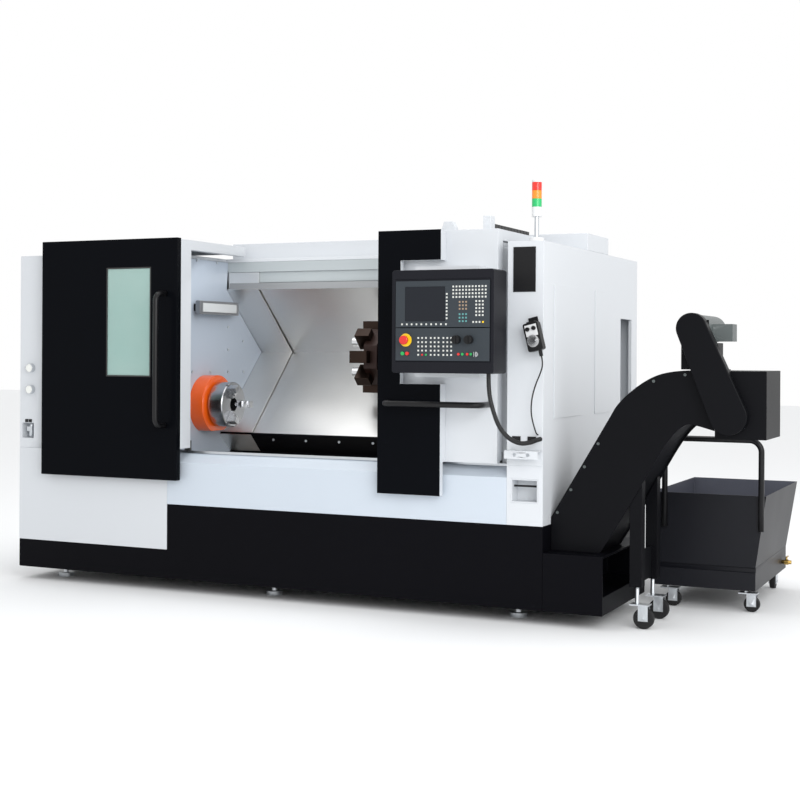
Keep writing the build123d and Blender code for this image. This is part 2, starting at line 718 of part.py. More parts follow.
def make_controls():
    """Emergency stop, knobs, push buttons and key switch of the machine plate."""
    front = BOX_FRONT - PLATE_PROUD
    stem_end = BOX_FRONT + PLATE_THICK + 10
    x, z = panel_spot("emergency_stop")
    ring = rod_y(x, front - 4, front, z, 31) - rod_y(x, front - 5, front + 1, z, STEM_R + CLEAR)
    keep("panel_plates", ring)
    mushroom = rod_y(x, front - MUSHROOM_REACH, front - 22, z, 22)
    mushroom = fillet(mushroom.edges().group_by(Axis.Y)[0], 6)
    mushroom += rod_y(x, front - 22, stem_end, z, STEM_R)
    keep("emergency_stop", mushroom)
    for name in ("feed_knob", "spindle_knob"):
        x, z = panel_spot(name)
        knob = rod_y(x, front - 26, front - CLEAR, z, 20)
        knob += block(x - 3, x + 3, front - 32, front - 26, z - 18, z + 18)
        knob += rod_y(x, front - CLEAR, stem_end, z, STEM_R)
        keep(name, knob)
    for x0, z0, r, name in PANEL_HOLES:
        if name.endswith("_button"):
            x, z = panel_spot(name)
            keep(name, rod_y(x, front - 7, stem_end, z, BUTTON_R))
    x, z = panel_spot("key_switch")
    lock = rod_y(x, front - 9, front - CLEAR, z, 12) + rod_y(x, front - CLEAR, stem_end, z, STEM_R)
    key = block(x - 1.2, x + 1.2, front - 34, front - 9, z - 11, z + 11)
    keep("key_switch", lock + key)


def key_group(rows, columns, left, low, pitch):
    """A grid of membrane keys that stand a little proud of their plate."""
    keys = []
    front = BOX_FRONT - PLATE_PROUD
    for row in range(rows):
        for column in range(columns):
            x = PLATE_LEFT + left + pitch * column
            z = LOWER_PLATE_Z + low + pitch * row
            keys.append(block(x, x + KEY_SIZE, front - 1.6, front, z, z + KEY_SIZE))
    return keys


def make_keypads():
    """Membrane keys of both units, each block of keys as one group."""
    upper = LOWER_PLATE + 4
    keep("panel_keys", *key_group(8, 1, 262, upper + 38, 16.4))
    keep("panel_keys", *key_group(1, 10, 30, upper + 10, 25.4))
    keep("panel_keys", *key_group(4, 11, 295, upper + 138, 16.4))
    keep("panel_keys", *key_group(5, 3, 412, upper + 52, 16.4))
    keep("panel_keys", *key_group(3, 3, 328, upper + 82, 16.4))
    keep("panel_keys", *key_group(3, 3, 328, upper + 24, 16.4))
    keep("panel_keys", *key_group(5, 3, 116, 24, 20))
    keep("panel_keys", *key_group(5, 3, 181, 24, 20))
    keep("panel_keys", *key_group(5, 3, 246, 24, 20))


def make_right_column():
    """White end column with its tool recess, access panels, sign plate and seams."""
    shell = block(COLUMN_X, BASE_LENGTH, 0, DEPTH, BASE_TOP, TOP_Z)
    inner = block(
        COLUMN_X + SHEET, BASE_LENGTH - SHEET, SHEET, DEPTH - SHEET, BASE_TOP - 1, TOP_Z - SHEET
    )
    pocket = block(COLUMN_X + 22, COLUMN_X + 161, -1, SHEET + 1, 588, 704)
    slot = block(BASE_LENGTH - SHEET - 1, BASE_LENGTH + 1, 1330, 1560, 560, 1514)
    keep("right_column", shell - inner - pocket - slot)
    pan = block(COLUMN_X + 22, COLUMN_X + 161, 2, 90, 588, 704)
    pan -= block(COLUMN_X + 28, COLUMN_X + 155, 1, 84, 594, 698)
    keep("right_column", pan)
    bar = rod_x(COLUMN_X + 28, COLUMN_X + 155, 34, 668, 5)
    keep("right_column", bar)
    for y0, y1 in ((154, 599), (833, 1121)):
        keep("right_column", block(BASE_LENGTH, BASE_LENGTH + 4, y0, y1, 994, 1656))
    sign = block(COLUMN_X + 30, COLUMN_X + 145, -3, 0, 1613, 1832)
    keep("right_column", sign)
    front = block(CARRIER_LEFT + 254, COLUMN_X, RECESS_Y - 8, RECESS_Y + 12, SEAM_Z, TOP_Z - SHEET)
    keep("front_sill", front)


def make_shelf():
    """Folded bracket shelf under the pendant, with two loose holes."""
    x0 = COLUMN_X + 12
    x1 = BASE_LENGTH - 2
    shelf = block(x0, x1, -70, -66, 806, 846)
    shelf += block(x0, x1, -70, 0, 842, 846)
    shelf += block(x0, x1, -4, 0, 770, 846)
    for x in (x0 + 52, x0 + 120):
        shelf -= rod_y(x, -71, -65, 826, 9)
    keep("right_column", shelf)
    for x in (COLUMN_X + 50, COLUMN_X + 130):
        keep("right_column", block(x - 22, x + 22, -4, 0, 890, 912))


def make_pendant():
    """Handwheel pendant hanging on its hook: case, dial and the two axis switches."""
    seat = Pos(PENDANT_X, 0, PENDANT_Z) * Rot(0, -PENDANT_LEAN, 0)
    front = PENDANT_BACK - PENDANT_THICK
    case = block(-38, 38, front, PENDANT_BACK, -66, 72)
    case = fillet(case.edges().filter_by(Axis.Y), 10)
    case -= rod_y(0, front - 1, front + 14, -18, 9.3)
    case += rod_z(14, (front + PENDANT_BACK) / 2, -96, -64, 9)
    keep("pendant_case", seat * case)
    dial = rod_y(0, front - 10, front - CLEAR, -18, 30)
    dial += rod_y(0, front - CLEAR, front + 12, -18, 9)
    dial += rod_y(17, front - 24, front - 10, -18, 5)
    keep("pendant_dial", seat * dial)
    for x in (-16.0, 16.0):
        knob = rod_y(x, front - 12, front, 42, 10)
        keep("pendant_case", seat * knob)
    hook = block(-20, 20, PENDANT_BACK, -3, 60, 72) + block(-24, 24, -6, 0, 40, 100)
    hook += block(-20, 20, front + 10, PENDANT_BACK, 72, 78)
    hook += block(-20, 20, PENDANT_BACK, PENDANT_BACK + 10, 60, 78)
    keep("right_column", seat * hook)


def route_radii(route):
    """Bend radii as large as the two runs beside each corner allow."""
    radii = []
    for before, corner, after in zip(route, route[1:], route[2:]):
        run_in = Vector(*corner) - Vector(*before)
        run_out = Vector(*after) - Vector(*corner)
        turn = radians(run_in.get_angle(run_out))
        radii.append(0.45 * min(run_in.length, run_out.length) / tan(turn / 2))
    return radii


def make_cord(name, route, radius):
    """A cable along its route, with its bend radii printed."""
    radii = route_radii(route)
    path = FilletPolyline(*route, radius=radii)
    tube = sweep(Plane(origin=path @ 0, z_dir=path % 0) * Circle(radius), path=path)
    keep(name, tube)
    print(name, "length", round(path.length), "radii", [round(r) for r in radii])
    print("volume over section times length", round(tube.volume / (pi * radius**2 * path.length), 3))


def make_beacon():
    """Signal tower on the column's front corner."""
    x, y = COLUMN_X + 134, 40.0
    r = 24.0
    foot = rod_z(x, y, TOP_Z, TOP_Z + 16, 36) + rod_z(x, y, TOP_Z + 16, TOP_Z + 118, 11)
    foot += rod_z(x, y, TOP_Z + 118, TOP_Z + 166, r)
    keep("signal_tower", foot)
    for n in range(3):
        z = TOP_Z + 166 + 40 * n
        keep("signal_tower", rod_z(x, y, z, z + 40, r))
    top = TOP_Z + 286
    cap = rod_z(x, y, top, top + 12, r)
    keep("signal_tower", fillet(cap.edges().group_by(Axis.Z)[-1], 6))


def make_roof_items():
    """Cable chain to the moving panel, its bracket, and the carrier's end plate."""
    z = CARRIER_TOP
    chain_x = CARRIER_LEFT + 520
    bracket = block(chain_x, chain_x + 40, 60, 120, z, z + 70)
    keep("carrier_body", bracket)
    links = []
    for n in range(11):
        y = 130 + n * 46.0
        links.append(block(chain_x + 2, chain_x + 38, y, y + 40, z, z + 34))
        links.append(block(chain_x + 12, chain_x + 28, y + 40, y + 46, z + 6, z + 26))
    chain = links[0]
    for link in links[1:-1]:
        chain += link
    keep("carrier_body", chain)
    left = CARRIER_LEFT + 310
    corners = [(0, 0), (76, 0), (76, 14), (60, 44), (16, 44)]
    plate = along_y([(left + x, z + up) for x, up in corners], 20, 60)
    keep("carrier_body", plate)


def make_conveyor():
    """Chip conveyor: bent casing, discharge hood, chain guard, motor and legs."""
    y0 = CONVEYOR_FRONT
    y1 = CONVEYOR_FRONT + CONVEYOR_WIDTH
    x0 = BASE_LENGTH + 2
    end = BASE_LENGTH
    outer = [(end + 296, 989), (end + 343, 1075), (end + 470, 1180), (end + 585, 1227)]
    outer += [(HOOD_LEFT, 1235)]
    under = [(HOOD_LEFT, 965), (end + 710, 990), (end + 663, 996), (end + 598, 948)]
    under += [(end + 525, 840), (end + 396, 605)]
    start = [(x0, TANK_TOP), (x0, 515)]
    casing = along_y(start + outer + under + [(end + 242, TANK_TOP)], y0 + 6, y1 - 6)
    plate = start + [(end + 290, 998), (end + 338, 1084), (end + 466, 1190), (end + 583, 1236)]
    plate += [(HOOD_LEFT, 1243), (HOOD_LEFT, 957), (end + 710, 982), (end + 666, 988)]
    plate += [(end + 606, 940), (end + 533, 834), (end + 404, 600), (end + 251, TANK_TOP)]
    casing += along_y(plate, y0, y0 + CONVEYOR_PLATE)
    casing += along_y(plate, y1 - CONVEYOR_PLATE, y1)
    keep("conveyor_casing", casing)
    hood = block(HOOD_LEFT, HOOD_RIGHT, y0, y1, HOOD_LOW, HOOD_HIGH)
    wall = 6.0
    hood -= block(
        HOOD_LEFT + wall, HOOD_RIGHT - wall, y0 + wall, y1 - wall, HOOD_LOW - 1, HOOD_HIGH - wall
    )
    keep("conveyor_head", hood)
    low = Pos(HOOD_LEFT + 73, y0 - 30, 1028) * Rot(90, 0, 0) * Cylinder(86, 60)
    high = Pos(HOOD_LEFT - 100, y0 - 30, 1436) * Rot(90, 0, 0) * Cylinder(72, 60)
    corners = [(-168, 1414), (-36, 930), (0, 921), (150, 1066), (-33, 1463)]
    web = along_y([(HOOD_LEFT + x, z) for x, z in corners], y0 - 60, y0)
    guard = low + high + web
    keep("conveyor_head", guard)
    motor_z = 1436.0
    stand_x0, stand_x1 = HOOD_LEFT - 160, HOOD_LEFT - 30
    stand = block(stand_x0, stand_x1, y0 + 30, y1 - 40, HOOD_HIGH + 5, motor_z - 66)
    stand += block(stand_x0, stand_x1, y0, y0 + 8, HOOD_HIGH + 5, motor_z + 40)
    stand += block(stand_x0, stand_x1, y0 + 8, y0 + 30, motor_z - 80, motor_z - 66)
    keep("drive_motor", stand)
    motor = rod_y(HOOD_LEFT - 95, y0 + 8, y1 + 20, motor_z, 66)
    box = block(HOOD_LEFT - 40, HOOD_LEFT + 62, y0 + 90, y0 + 190, motor_z - 60, motor_z + 22)
    keep("drive_motor", motor + box)
    for y in (y0 + 6, y1 - 6 - LEG_SIZE):
        top = [(LEG_X + LEG_SIZE, 708), (LEG_X, 598)]
        leg = along_y([(LEG_X, LEG_BOTTOM), (LEG_X + LEG_SIZE, LEG_BOTTOM)] + top, y, y + LEG_SIZE)
        keep("conveyor_legs", leg)
    brace_y0 = y0 + 6 + LEG_SIZE
    keep("conveyor_legs", block(LEG_X + 27, LEG_X + 33, brace_y0, y1 - 6 - LEG_SIZE, 210, 366))
    middle = LEG_X + LEG_SIZE / 2
    for label, y in (("front", y0 + 6 + LEG_SIZE / 2), ("rear", y1 - 6 - LEG_SIZE / 2)):
        fork, wheel = f"conveyor_{label}_fork", f"conveyor_{label}_wheel"
        make_caster(fork, wheel, middle, y, LEG_BOTTOM - GAP, CASTER_R)


def make_caster(fork_node, wheel_node, x, y, seat_z, wheel_r, heading=0.0):
    """A caster: stem and fork in one node, wheel in another, trailing along its heading."""
    seat = Pos(x, y, 0) * Rot(0, 0, heading)
    top = 2 * wheel_r + 12
    half = 17.0
    reach = CASTER_TRAIL + 30
    fork = block(CASTER_TRAIL - 24, CASTER_TRAIL + 24, -half - 4, -half, wheel_r - 12, top + 2)
    fork += block(CASTER_TRAIL - 24, CASTER_TRAIL + 24, half, half + 4, wheel_r - 12, top + 2)
    fork += block(-30, reach, -30, 30, top, top + 6)
    fork += rod_z(0, 0, top + 6, seat_z, CASTER_STEM_R)
    fork += rod_y(CASTER_TRAIL, -half - 8, half + 8, wheel_r, 6)
    wheel = rod_y(CASTER_TRAIL, -half + 2, half - 2, wheel_r, wheel_r)
    wheel = fillet(wheel.edges().filter_by(GeomType.CIRCLE), 4)
    wheel -= rod_y(CASTER_TRAIL, -half, half, wheel_r, 6 + RUNNING)
    keep(wheel_node, seat * wheel)
    keep(fork_node, seat * fork)


def make_cart():
    """Chip cart: tapered open body, channel frame, push handle, drain valve, casters."""
    x0, x1 = CART_LEFT, CART_LEFT + CART_WIDTH
    y0, y1 = CART_FRONT, CART_FRONT + CART_LENGTH
    t = CART_TAPER
    w = CART_WALL
    rim = Pos((x0 + x1) / 2, (y0 + y1) / 2, CART_RIM)
    floor_plane = Pos((x0 + x1 - t) / 2, (y0 + y1 - t) / 2, CART_FLOOR)
    outside = loft([
        (floor_plane * Rectangle(x1 - x0 - t, y1 - y0 - t)).face(),
        (rim * Rectangle(x1 - x0, y1 - y0)).face(),
    ])
    floor_plane = Pos((x0 + x1 - t) / 2, (y0 + y1 - t) / 2, CART_FLOOR + w)
    rim = Pos((x0 + x1) / 2, (y0 + y1) / 2, CART_RIM + 1)
    inside = loft([
        (floor_plane * Rectangle(x1 - x0 - t - 2 * w, y1 - y0 - t - 2 * w)).face(),
        (rim * Rectangle(x1 - x0 - 2 * w, y1 - y0 - 2 * w)).face(),
    ])
    keep("cart_body", outside - inside)
    bx0, bx1 = x0, x1 - t
    by0, by1 = y0, y1 - t
    frame = block(bx0, bx1, by0, by1, CART_FRAME_LOW, CART_FLOOR)
    frame -= block(bx0 + 60, bx1 - 60, by0 + 60, by1 - 60, CART_FRAME_LOW - 1, CART_FLOOR + 1)
    frame -= block(bx0 - 1, bx1 + 1, by0 - 1, by0 + 12, CART_FRAME_HIGH, CART_FLOOR + 1)
    keep("cart_frame", frame)
    left, right = x0 + 70.0, x1 - 22.0
    handle_y = y0 - 15.0
    ends = [(left, handle_y, 420), (left, handle_y, 880), (right, handle_y, 880)]
    keep("cart_body", bent_tube(ends + [(right, handle_y, 420)], 15, 60))
    for number, x in enumerate((bx0 + 70, bx1 - 60), start=1):
        fork, wheel = f"cart_{number}_fork", f"cart_{number}_wheel"
        make_caster(fork, wheel, x, by0 + 50, CART_FRAME_LOW - GAP, CART_WHEEL_R)
        make_caster("cart_frame", "cart_rear_wheels", x, by1 - 90, CART_FRAME_LOW, CART_WHEEL_R, 90)
    valve_y = y0 + 780.0
    valve = rod_x(bx1, bx1 + 50, valve_y, 160, 11) + rod_x(bx1 + 14, bx1 + 34, valve_y, 160, 15)
    valve += rod_z(bx1 + 24, valve_y, 160, 186, 5)
    keep("cart_frame", valve)
    lever = block(bx1 + 18, bx1 + 30, valve_y - 6, valve_y + 55, 186 + GAP, 189 + GAP)
    keep("valve_lever", lever)


make_base()
make_tank()
make_left_cabinet()
make_service_unit()
make_machining_room()
make_way_covers()
make_bed()
make_headstock()
make_chuck()
make_turret()
make_door()
make_carrier()
make_control_box()
make_controls()
make_keypads()
make_right_column()
make_shelf()
make_pendant()
make_cord("panel_hose", HOSE_ROUTE, HOSE_R)
make_cord("pendant_cord", PENDANT_ROUTE, PENDANT_CORD_R)
make_beacon()
make_roof_items()
make_conveyor()
make_cart()

os.makedirs("parts", exist_ok=True)
for name, solids in sorted(NODES.items()):
    shape = Compound(children=[place(solid) for solid in solids])
    export_step(shape, f"parts/{name}.step")
print(len(NODES), "nodes")
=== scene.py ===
"""Looks of a slant-bed turning lathe with sliding hood doors, conveyor and chip cart."""
import json
from math import atan2, cos, pi, radians, sin

import bmesh
import bpy
from mathutils import Matrix, Vector


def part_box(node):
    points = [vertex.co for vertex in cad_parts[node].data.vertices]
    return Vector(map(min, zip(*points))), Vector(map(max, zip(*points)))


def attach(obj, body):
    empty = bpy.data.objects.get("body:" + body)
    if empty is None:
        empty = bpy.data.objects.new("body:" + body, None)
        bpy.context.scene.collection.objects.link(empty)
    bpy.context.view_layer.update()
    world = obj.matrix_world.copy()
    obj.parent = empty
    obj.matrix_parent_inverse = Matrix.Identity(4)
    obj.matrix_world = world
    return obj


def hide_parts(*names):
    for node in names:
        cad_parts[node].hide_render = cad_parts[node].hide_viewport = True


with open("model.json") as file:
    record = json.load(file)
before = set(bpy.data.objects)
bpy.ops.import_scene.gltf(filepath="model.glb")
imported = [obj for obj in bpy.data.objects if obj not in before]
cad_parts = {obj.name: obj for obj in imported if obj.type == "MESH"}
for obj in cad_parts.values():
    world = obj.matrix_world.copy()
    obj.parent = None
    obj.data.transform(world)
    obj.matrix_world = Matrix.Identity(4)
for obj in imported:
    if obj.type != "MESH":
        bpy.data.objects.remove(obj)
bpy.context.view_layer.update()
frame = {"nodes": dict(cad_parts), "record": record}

# Places are written from the machine's left front floor corner, in metres.
skirt_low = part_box("base_skirt")[0]
machine_corner = Vector((skirt_low[0], skirt_low[1], 0.0))

# Camera. It stands to the right of the machine at chest height and looks level, a little
# to the left, through a medium telephoto lens whose frame is moved down.
camera_data = bpy.data.cameras.new("view_camera")
camera_data.sensor_width = 36.0
camera_data.lens = 62.65
camera_data.shift_y = -0.0586
camera = bpy.data.objects.new("view_camera", camera_data)
camera_turn = radians(25.02)
camera_roll = 0.0056
camera.matrix_world = (
    Matrix.Translation(machine_corner + Vector((5.4026, -6.3762, 1.3125)))
    @ Matrix.Rotation(camera_turn, 4, "Z")
    @ Matrix.Rotation(pi / 2, 4, "X")
    @ Matrix.Rotation(camera_roll, 4, "Z")
)
bpy.context.scene.collection.objects.link(camera)
bpy.context.scene.camera = camera

# Studio. Three large soft lights over a plain pale floor and a plain pale sky, as a
# product picture of a machine is lit, and a weak one under the roof of the machining room.
world = bpy.data.worlds.new("pale_sky")
world.use_nodes = True
world.node_tree.nodes["Background"].inputs["Color"].default_value = (1.0, 1.0, 1.0, 1.0)
world.node_tree.nodes["Background"].inputs["Strength"].default_value = 1.0
bpy.context.scene.world = world
bpy.context.scene.view_settings.view_transform = "Standard"
light_target = Vector((0.0, 0.0, 0.9))
soft_lights = {
    "front_light": ((4.2, -4.8, 2.8), 3.0, 150.0),
    "right_light": ((7.5, -3.5, 4.0), 4.0, 90.0),
    "top_light": ((-0.5, 0.5, 7.0), 5.0, 130.0),
}
for light_name, (light_place, light_size, light_power) in soft_lights.items():
    light_data = bpy.data.lights.new(light_name, "AREA")
    light_data.size = light_size
    light_data.energy = light_power
    light = bpy.data.objects.new(light_name, light_data)
    light.location = light_place
    towards = light_target - Vector(light_place)
    light.rotation_euler = towards.to_track_quat("-Z", "Y").to_euler()
    bpy.context.scene.collection.objects.link(light)

room_glow = bpy.data.lights.new("room_light", "AREA")
room_glow.shape = "RECTANGLE"
room_glow.size, room_glow.size_y = 1.4, 0.35
room_glow.energy = 1.9
room_light = bpy.data.objects.new("room_light", room_glow)
room_light.location = machine_corner + Vector((1.75, 0.25, 1.80))
room_aim = Vector((0.0, 0.35, -0.8))
room_light.rotation_euler = room_aim.to_track_quat("-Z", "Y").to_euler()
bpy.context.scene.collection.objects.link(room_light)

floor_mesh = bpy.data.meshes.new("studio_floor")
floor_reach = 30.0
floor_mesh.from_pydata(
    [(x, y, 0.0) for x, y in ((-1, -1), (1, -1), (1, 1), (-1, 1))], [], [(0, 1, 2, 3)]
)
floor_mesh.transform(Matrix.Scale(floor_reach, 4))
studio_floor = bpy.data.objects.new("studio_floor", floor_mesh)
floor_paint = bpy.data.materials.new("pale_floor")
floor_paint.use_nodes = True
floor_shader = floor_paint.node_tree.nodes["Principled BSDF"]
floor_shader.inputs["Base Color"].default_value = (0.86, 0.87, 0.88, 1)
floor_shader.inputs["Roughness"].default_value = 0.9
floor_mesh.materials.append(floor_paint)
bpy.context.scene.collection.objects.link(studio_floor)


# Cords. The panel's corrugated conduit hangs from the operator panel's housing and turns
# back up to the column. The pendant's thin cable hangs from the pendant to the column.
def finish(name, colour, roughness, metallic=0.0, shade=0.10, blotch=1.5, grain=260.0,
           grain_depth=0.0004, swing=0.08, stretch=(1, 1, 1), coat=0.0, gleam=0.5):
    """A worked surface: a broad change of tone, a fine grain in relief, and uneven gloss."""
    fine_share, broad_share = 0.35, 0.65
    material = bpy.data.materials.new(name)
    material.use_nodes = True
    nodes, links = material.node_tree.nodes, material.node_tree.links
    shader = nodes["Principled BSDF"]
    shader.inputs["Metallic"].default_value = metallic
    shader.inputs["Coat Weight"].default_value = coat
    shader.inputs["Specular IOR Level"].default_value = gleam
    place = nodes.new("ShaderNodeTexCoord")
    lay = nodes.new("ShaderNodeMapping")
    lay.inputs["Scale"].default_value = stretch
    links.new(place.outputs["Object"], lay.inputs["Vector"])
    broad = nodes.new("ShaderNodeTexNoise")
    broad.inputs["Scale"].default_value = blotch
    broad.inputs["Detail"].default_value = 5.0
    links.new(place.outputs["Object"], broad.inputs["Vector"])
    fine = nodes.new("ShaderNodeTexNoise")
    fine.inputs["Scale"].default_value = grain
    fine.inputs["Detail"].default_value = 3.0
    links.new(lay.outputs["Vector"], fine.inputs["Vector"])
    tone = nodes.new("ShaderNodeMix")
    tone.data_type = "RGBA"
    tone.inputs[6].default_value = (*[c * (1 - shade) for c in colour], 1)
    tone.inputs[7].default_value = (*[min(1.0, c * (1 + shade * 0.6)) for c in colour], 1)
    both = nodes.new("ShaderNodeMath")
    both.operation = "MULTIPLY_ADD"
    both.inputs[1].default_value = fine_share
    links.new(fine.outputs["Fac"], both.inputs[0])
    base_tone = nodes.new("ShaderNodeMath")
    base_tone.operation = "MULTIPLY"
    base_tone.inputs[1].default_value = broad_share
    links.new(broad.outputs["Fac"], base_tone.inputs[0])
    links.new(base_tone.outputs[0], both.inputs[2])
    links.new(both.outputs[0], tone.inputs[0])
    links.new(tone.outputs[2], shader.inputs["Base Color"])
    gloss = nodes.new("ShaderNodeMapRange")
    gloss.inputs["To Min"].default_value = max(0.03, roughness - swing)
    gloss.inputs["To Max"].default_value = min(1.0, roughness + swing)
    links.new(both.outputs[0], gloss.inputs["Value"])
    links.new(gloss.outputs["Result"], shader.inputs["Roughness"])
    relief = nodes.new("ShaderNodeBump")
    relief.inputs["Strength"].default_value = 0.5
    relief.inputs["Distance"].default_value = grain_depth
    links.new(fine.outputs["Fac"], relief.inputs["Height"])
    links.new(relief.outputs["Normal"], shader.inputs["Normal"])
    return material


def cord_curve(name, route, diameter, material):
    """A smooth line through a route of given points, as thick as the cable."""
    curve = bpy.data.curves.new(name, "CURVE")
    curve.dimensions = "3D"
    curve.bevel_depth = diameter / 2
    curve.bevel_resolution = 6
    curve.resolution_u = 16
    curve.use_fill_caps = True
    line = curve.splines.new("NURBS")
    line.points.add(len(route) - 1)
    for point, spot in zip(line.points, route):
        point.co = (*spot, 1.0)
    line.order_u = 3
    line.use_endpoint_u = True
    cord = bpy.data.objects.new(name, curve)
    curve.materials.append(material)
    bpy.context.scene.collection.objects.link(cord)
    return cord


cable_sheath = finish("cable_sheath", (0.008, 0.008, 0.009), 0.45, shade=0.2, grain=900,
                      grain_depth=0.0002)
panel_hose_route = [
    machine_corner + Vector(p)
    for p in (
        (3.001, -0.240, 1.2177), (3.001, -0.240, 1.130), (3.022, -0.236, 1.045),
        (3.045, -0.222, 0.970), (3.082, -0.190, 0.912), (3.122, -0.140, 0.884),
        (3.158, -0.092, 0.888), (3.176, -0.046, 0.900), (3.176, -0.001, 0.901),
    )
]
panel_hose = cord_curve("panel_conduit", panel_hose_route, 0.020, cable_sheath)
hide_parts("panel_hose")
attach(panel_hose, "machine")


def new_group(name, inputs):
    """A node group with named inputs and a geometry output, and the node of its inputs."""
    tree = bpy.data.node_groups.new(name, "GeometryNodeTree")
    for label, kind in inputs.items():
        tree.interface.new_socket(label, in_out="INPUT", socket_type=f"NodeSocket{kind}")
    tree.interface.new_socket("Grown", in_out="OUTPUT", socket_type="NodeSocketGeometry")
    return tree, tree.nodes.new("NodeGroupInput")


def end_group(tree, points, heading, shape, paint):
    """End a node group with copies of a shape on points, made real and given a material."""
    nodes, links = tree.nodes, tree.links
    copies = nodes.new("GeometryNodeInstanceOnPoints")
    links.new(points, copies.inputs["Points"])
    links.new(heading, copies.inputs["Rotation"])
    links.new(shape, copies.inputs["Instance"])
    real = nodes.new("GeometryNodeRealizeInstances")
    links.new(copies.outputs["Instances"], real.inputs["Geometry"])
    painted = nodes.new("GeometryNodeSetMaterial")
    links.new(real.outputs["Geometry"], painted.inputs["Geometry"])
    links.new(paint, painted.inputs["Material"])
    links.new(painted.outputs["Geometry"], nodes.new("NodeGroupOutput").inputs["Grown"])


def grown(holder, tree, values):
    """The mesh that a node group makes of an object; the object itself is taken away."""
    grow = holder.modifiers.new("grown", "NODES")
    grow.node_group = tree
    for item in tree.interface.items_tree:
        if item.name in values:
            grow[item.identifier] = values[item.name]
    looked = holder.evaluated_get(bpy.context.evaluated_depsgraph_get())
    mesh = bpy.data.meshes.new_from_object(looked)
    bpy.data.objects.remove(holder)
    return mesh


def rib_tree():
    """Geometry nodes: a ring at each step along a route, as the ribs of a conduit."""
    tree, given = new_group("conduit_ribs", {
        "Route": "Geometry", "Pitch": "Float", "Ring radius": "Float", "Rib radius": "Float",
        "Sheath": "Material",
    })
    nodes, links = tree.nodes, tree.links
    steps = nodes.new("GeometryNodeCurveToPoints")
    steps.mode = "LENGTH"
    links.new(given.outputs["Route"], steps.inputs["Curve"])
    links.new(given.outputs["Pitch"], steps.inputs["Length"])
    ring = nodes.new("GeometryNodeCurvePrimitiveCircle")
    ring.inputs["Resolution"].default_value = 20
    links.new(given.outputs["Ring radius"], ring.inputs["Radius"])
    section = nodes.new("GeometryNodeCurvePrimitiveCircle")
    section.inputs["Resolution"].default_value = 8
    links.new(given.outputs["Rib radius"], section.inputs["Radius"])
    rib = nodes.new("GeometryNodeCurveToMesh")
    links.new(ring.outputs["Curve"], rib.inputs["Curve"])
    links.new(section.outputs["Curve"], rib.inputs["Profile Curve"])
    end_group(tree, steps.outputs["Points"], steps.outputs["Rotation"], rib.outputs["Mesh"],
              given.outputs["Sheath"])
    return tree


rib_route = cord_curve("conduit_rib_route", panel_hose_route, 0.0, cable_sheath)
rib_mesh = grown(rib_route, rib_tree(), {
    "Pitch": 0.006, "Ring radius": 0.0098, "Rib radius": 0.0015, "Sheath": cable_sheath,
})
conduit_ribs = bpy.data.objects.new("panel_conduit_ribs", rib_mesh)
rib_mesh.materials.clear()
rib_mesh.materials.append(cable_sheath)
bpy.context.scene.collection.objects.link(conduit_ribs)
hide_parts("panel_hose")
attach(conduit_ribs, "machine")
pendant_route = [
    machine_corner + Vector(p)
    for p in (
        (3.1968, -0.048, 1.3022), (3.206, -0.048, 1.265), (3.190, -0.048, 1.215),
        (3.168, -0.050, 1.165), (3.152, -0.052, 1.108), (3.146, -0.052, 1.050),
        (3.150, -0.048, 1.000), (3.160, -0.038, 0.955), (3.164, -0.022, 0.926),
        (3.164, -0.001, 0.922),
    )
]
pendant_cable = cord_curve("pendant_cable", pendant_route, 0.007, cable_sheath)
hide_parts("pendant_cord")
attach(pendant_cable, "machine")


# Base skirt and feet. A folded and welded steel skirt in satin black enamel, with a step
# where the left end goes down, on six screwed levelling feet.
bodies_of_nodes = {
    node: body
    for body, nodes in frame["record"]["behaviour"]["bodies"].items()
    for node in nodes
}


def loose_pieces(mesh):
    """The separate closed shells of a mesh, each as a set of faces."""
    left = set(mesh.faces)
    shells = []
    while left:
        shell = {left.pop()}
        edge_of_growth = list(shell)
        while edge_of_growth:
            face = edge_of_growth.pop()
            for edge in face.edges:
                for neighbour in edge.link_faces:
                    if neighbour in left:
                        left.remove(neighbour)
                        shell.add(neighbour)
                        edge_of_growth.append(neighbour)
        shells.append(shell)
    return shells


def shell_box(shell):
    """Lowest and highest corner of a shell, from the machine's left front floor corner."""
    spots = [v.co - machine_corner for face in shell for v in face.verts]
    low = Vector([min(s[i] for s in spots) for i in range(3)])
    high = Vector([max(s[i] for s in spots) for i in range(3)])
    return low, high


def placed(name, mesh, material, node, bevel, segments=2, harden=False):
    """Put a mesh in place of its CAD node, on the node's body, with eased edges."""
    eased_from = radians(35)
    mesh.materials.clear()
    mesh.materials.append(material)
    piece = bpy.data.objects.new(name, mesh)
    bpy.context.scene.collection.objects.link(piece)
    if bevel:
        ease = piece.modifiers.new("eased_edges", "BEVEL")
        ease.width = bevel
        ease.segments = segments
        ease.limit_method = "ANGLE"
        ease.angle_limit = eased_from
        ease.harden_normals = harden
    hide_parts(node)
    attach(piece, bodies_of_nodes[node])
    return piece


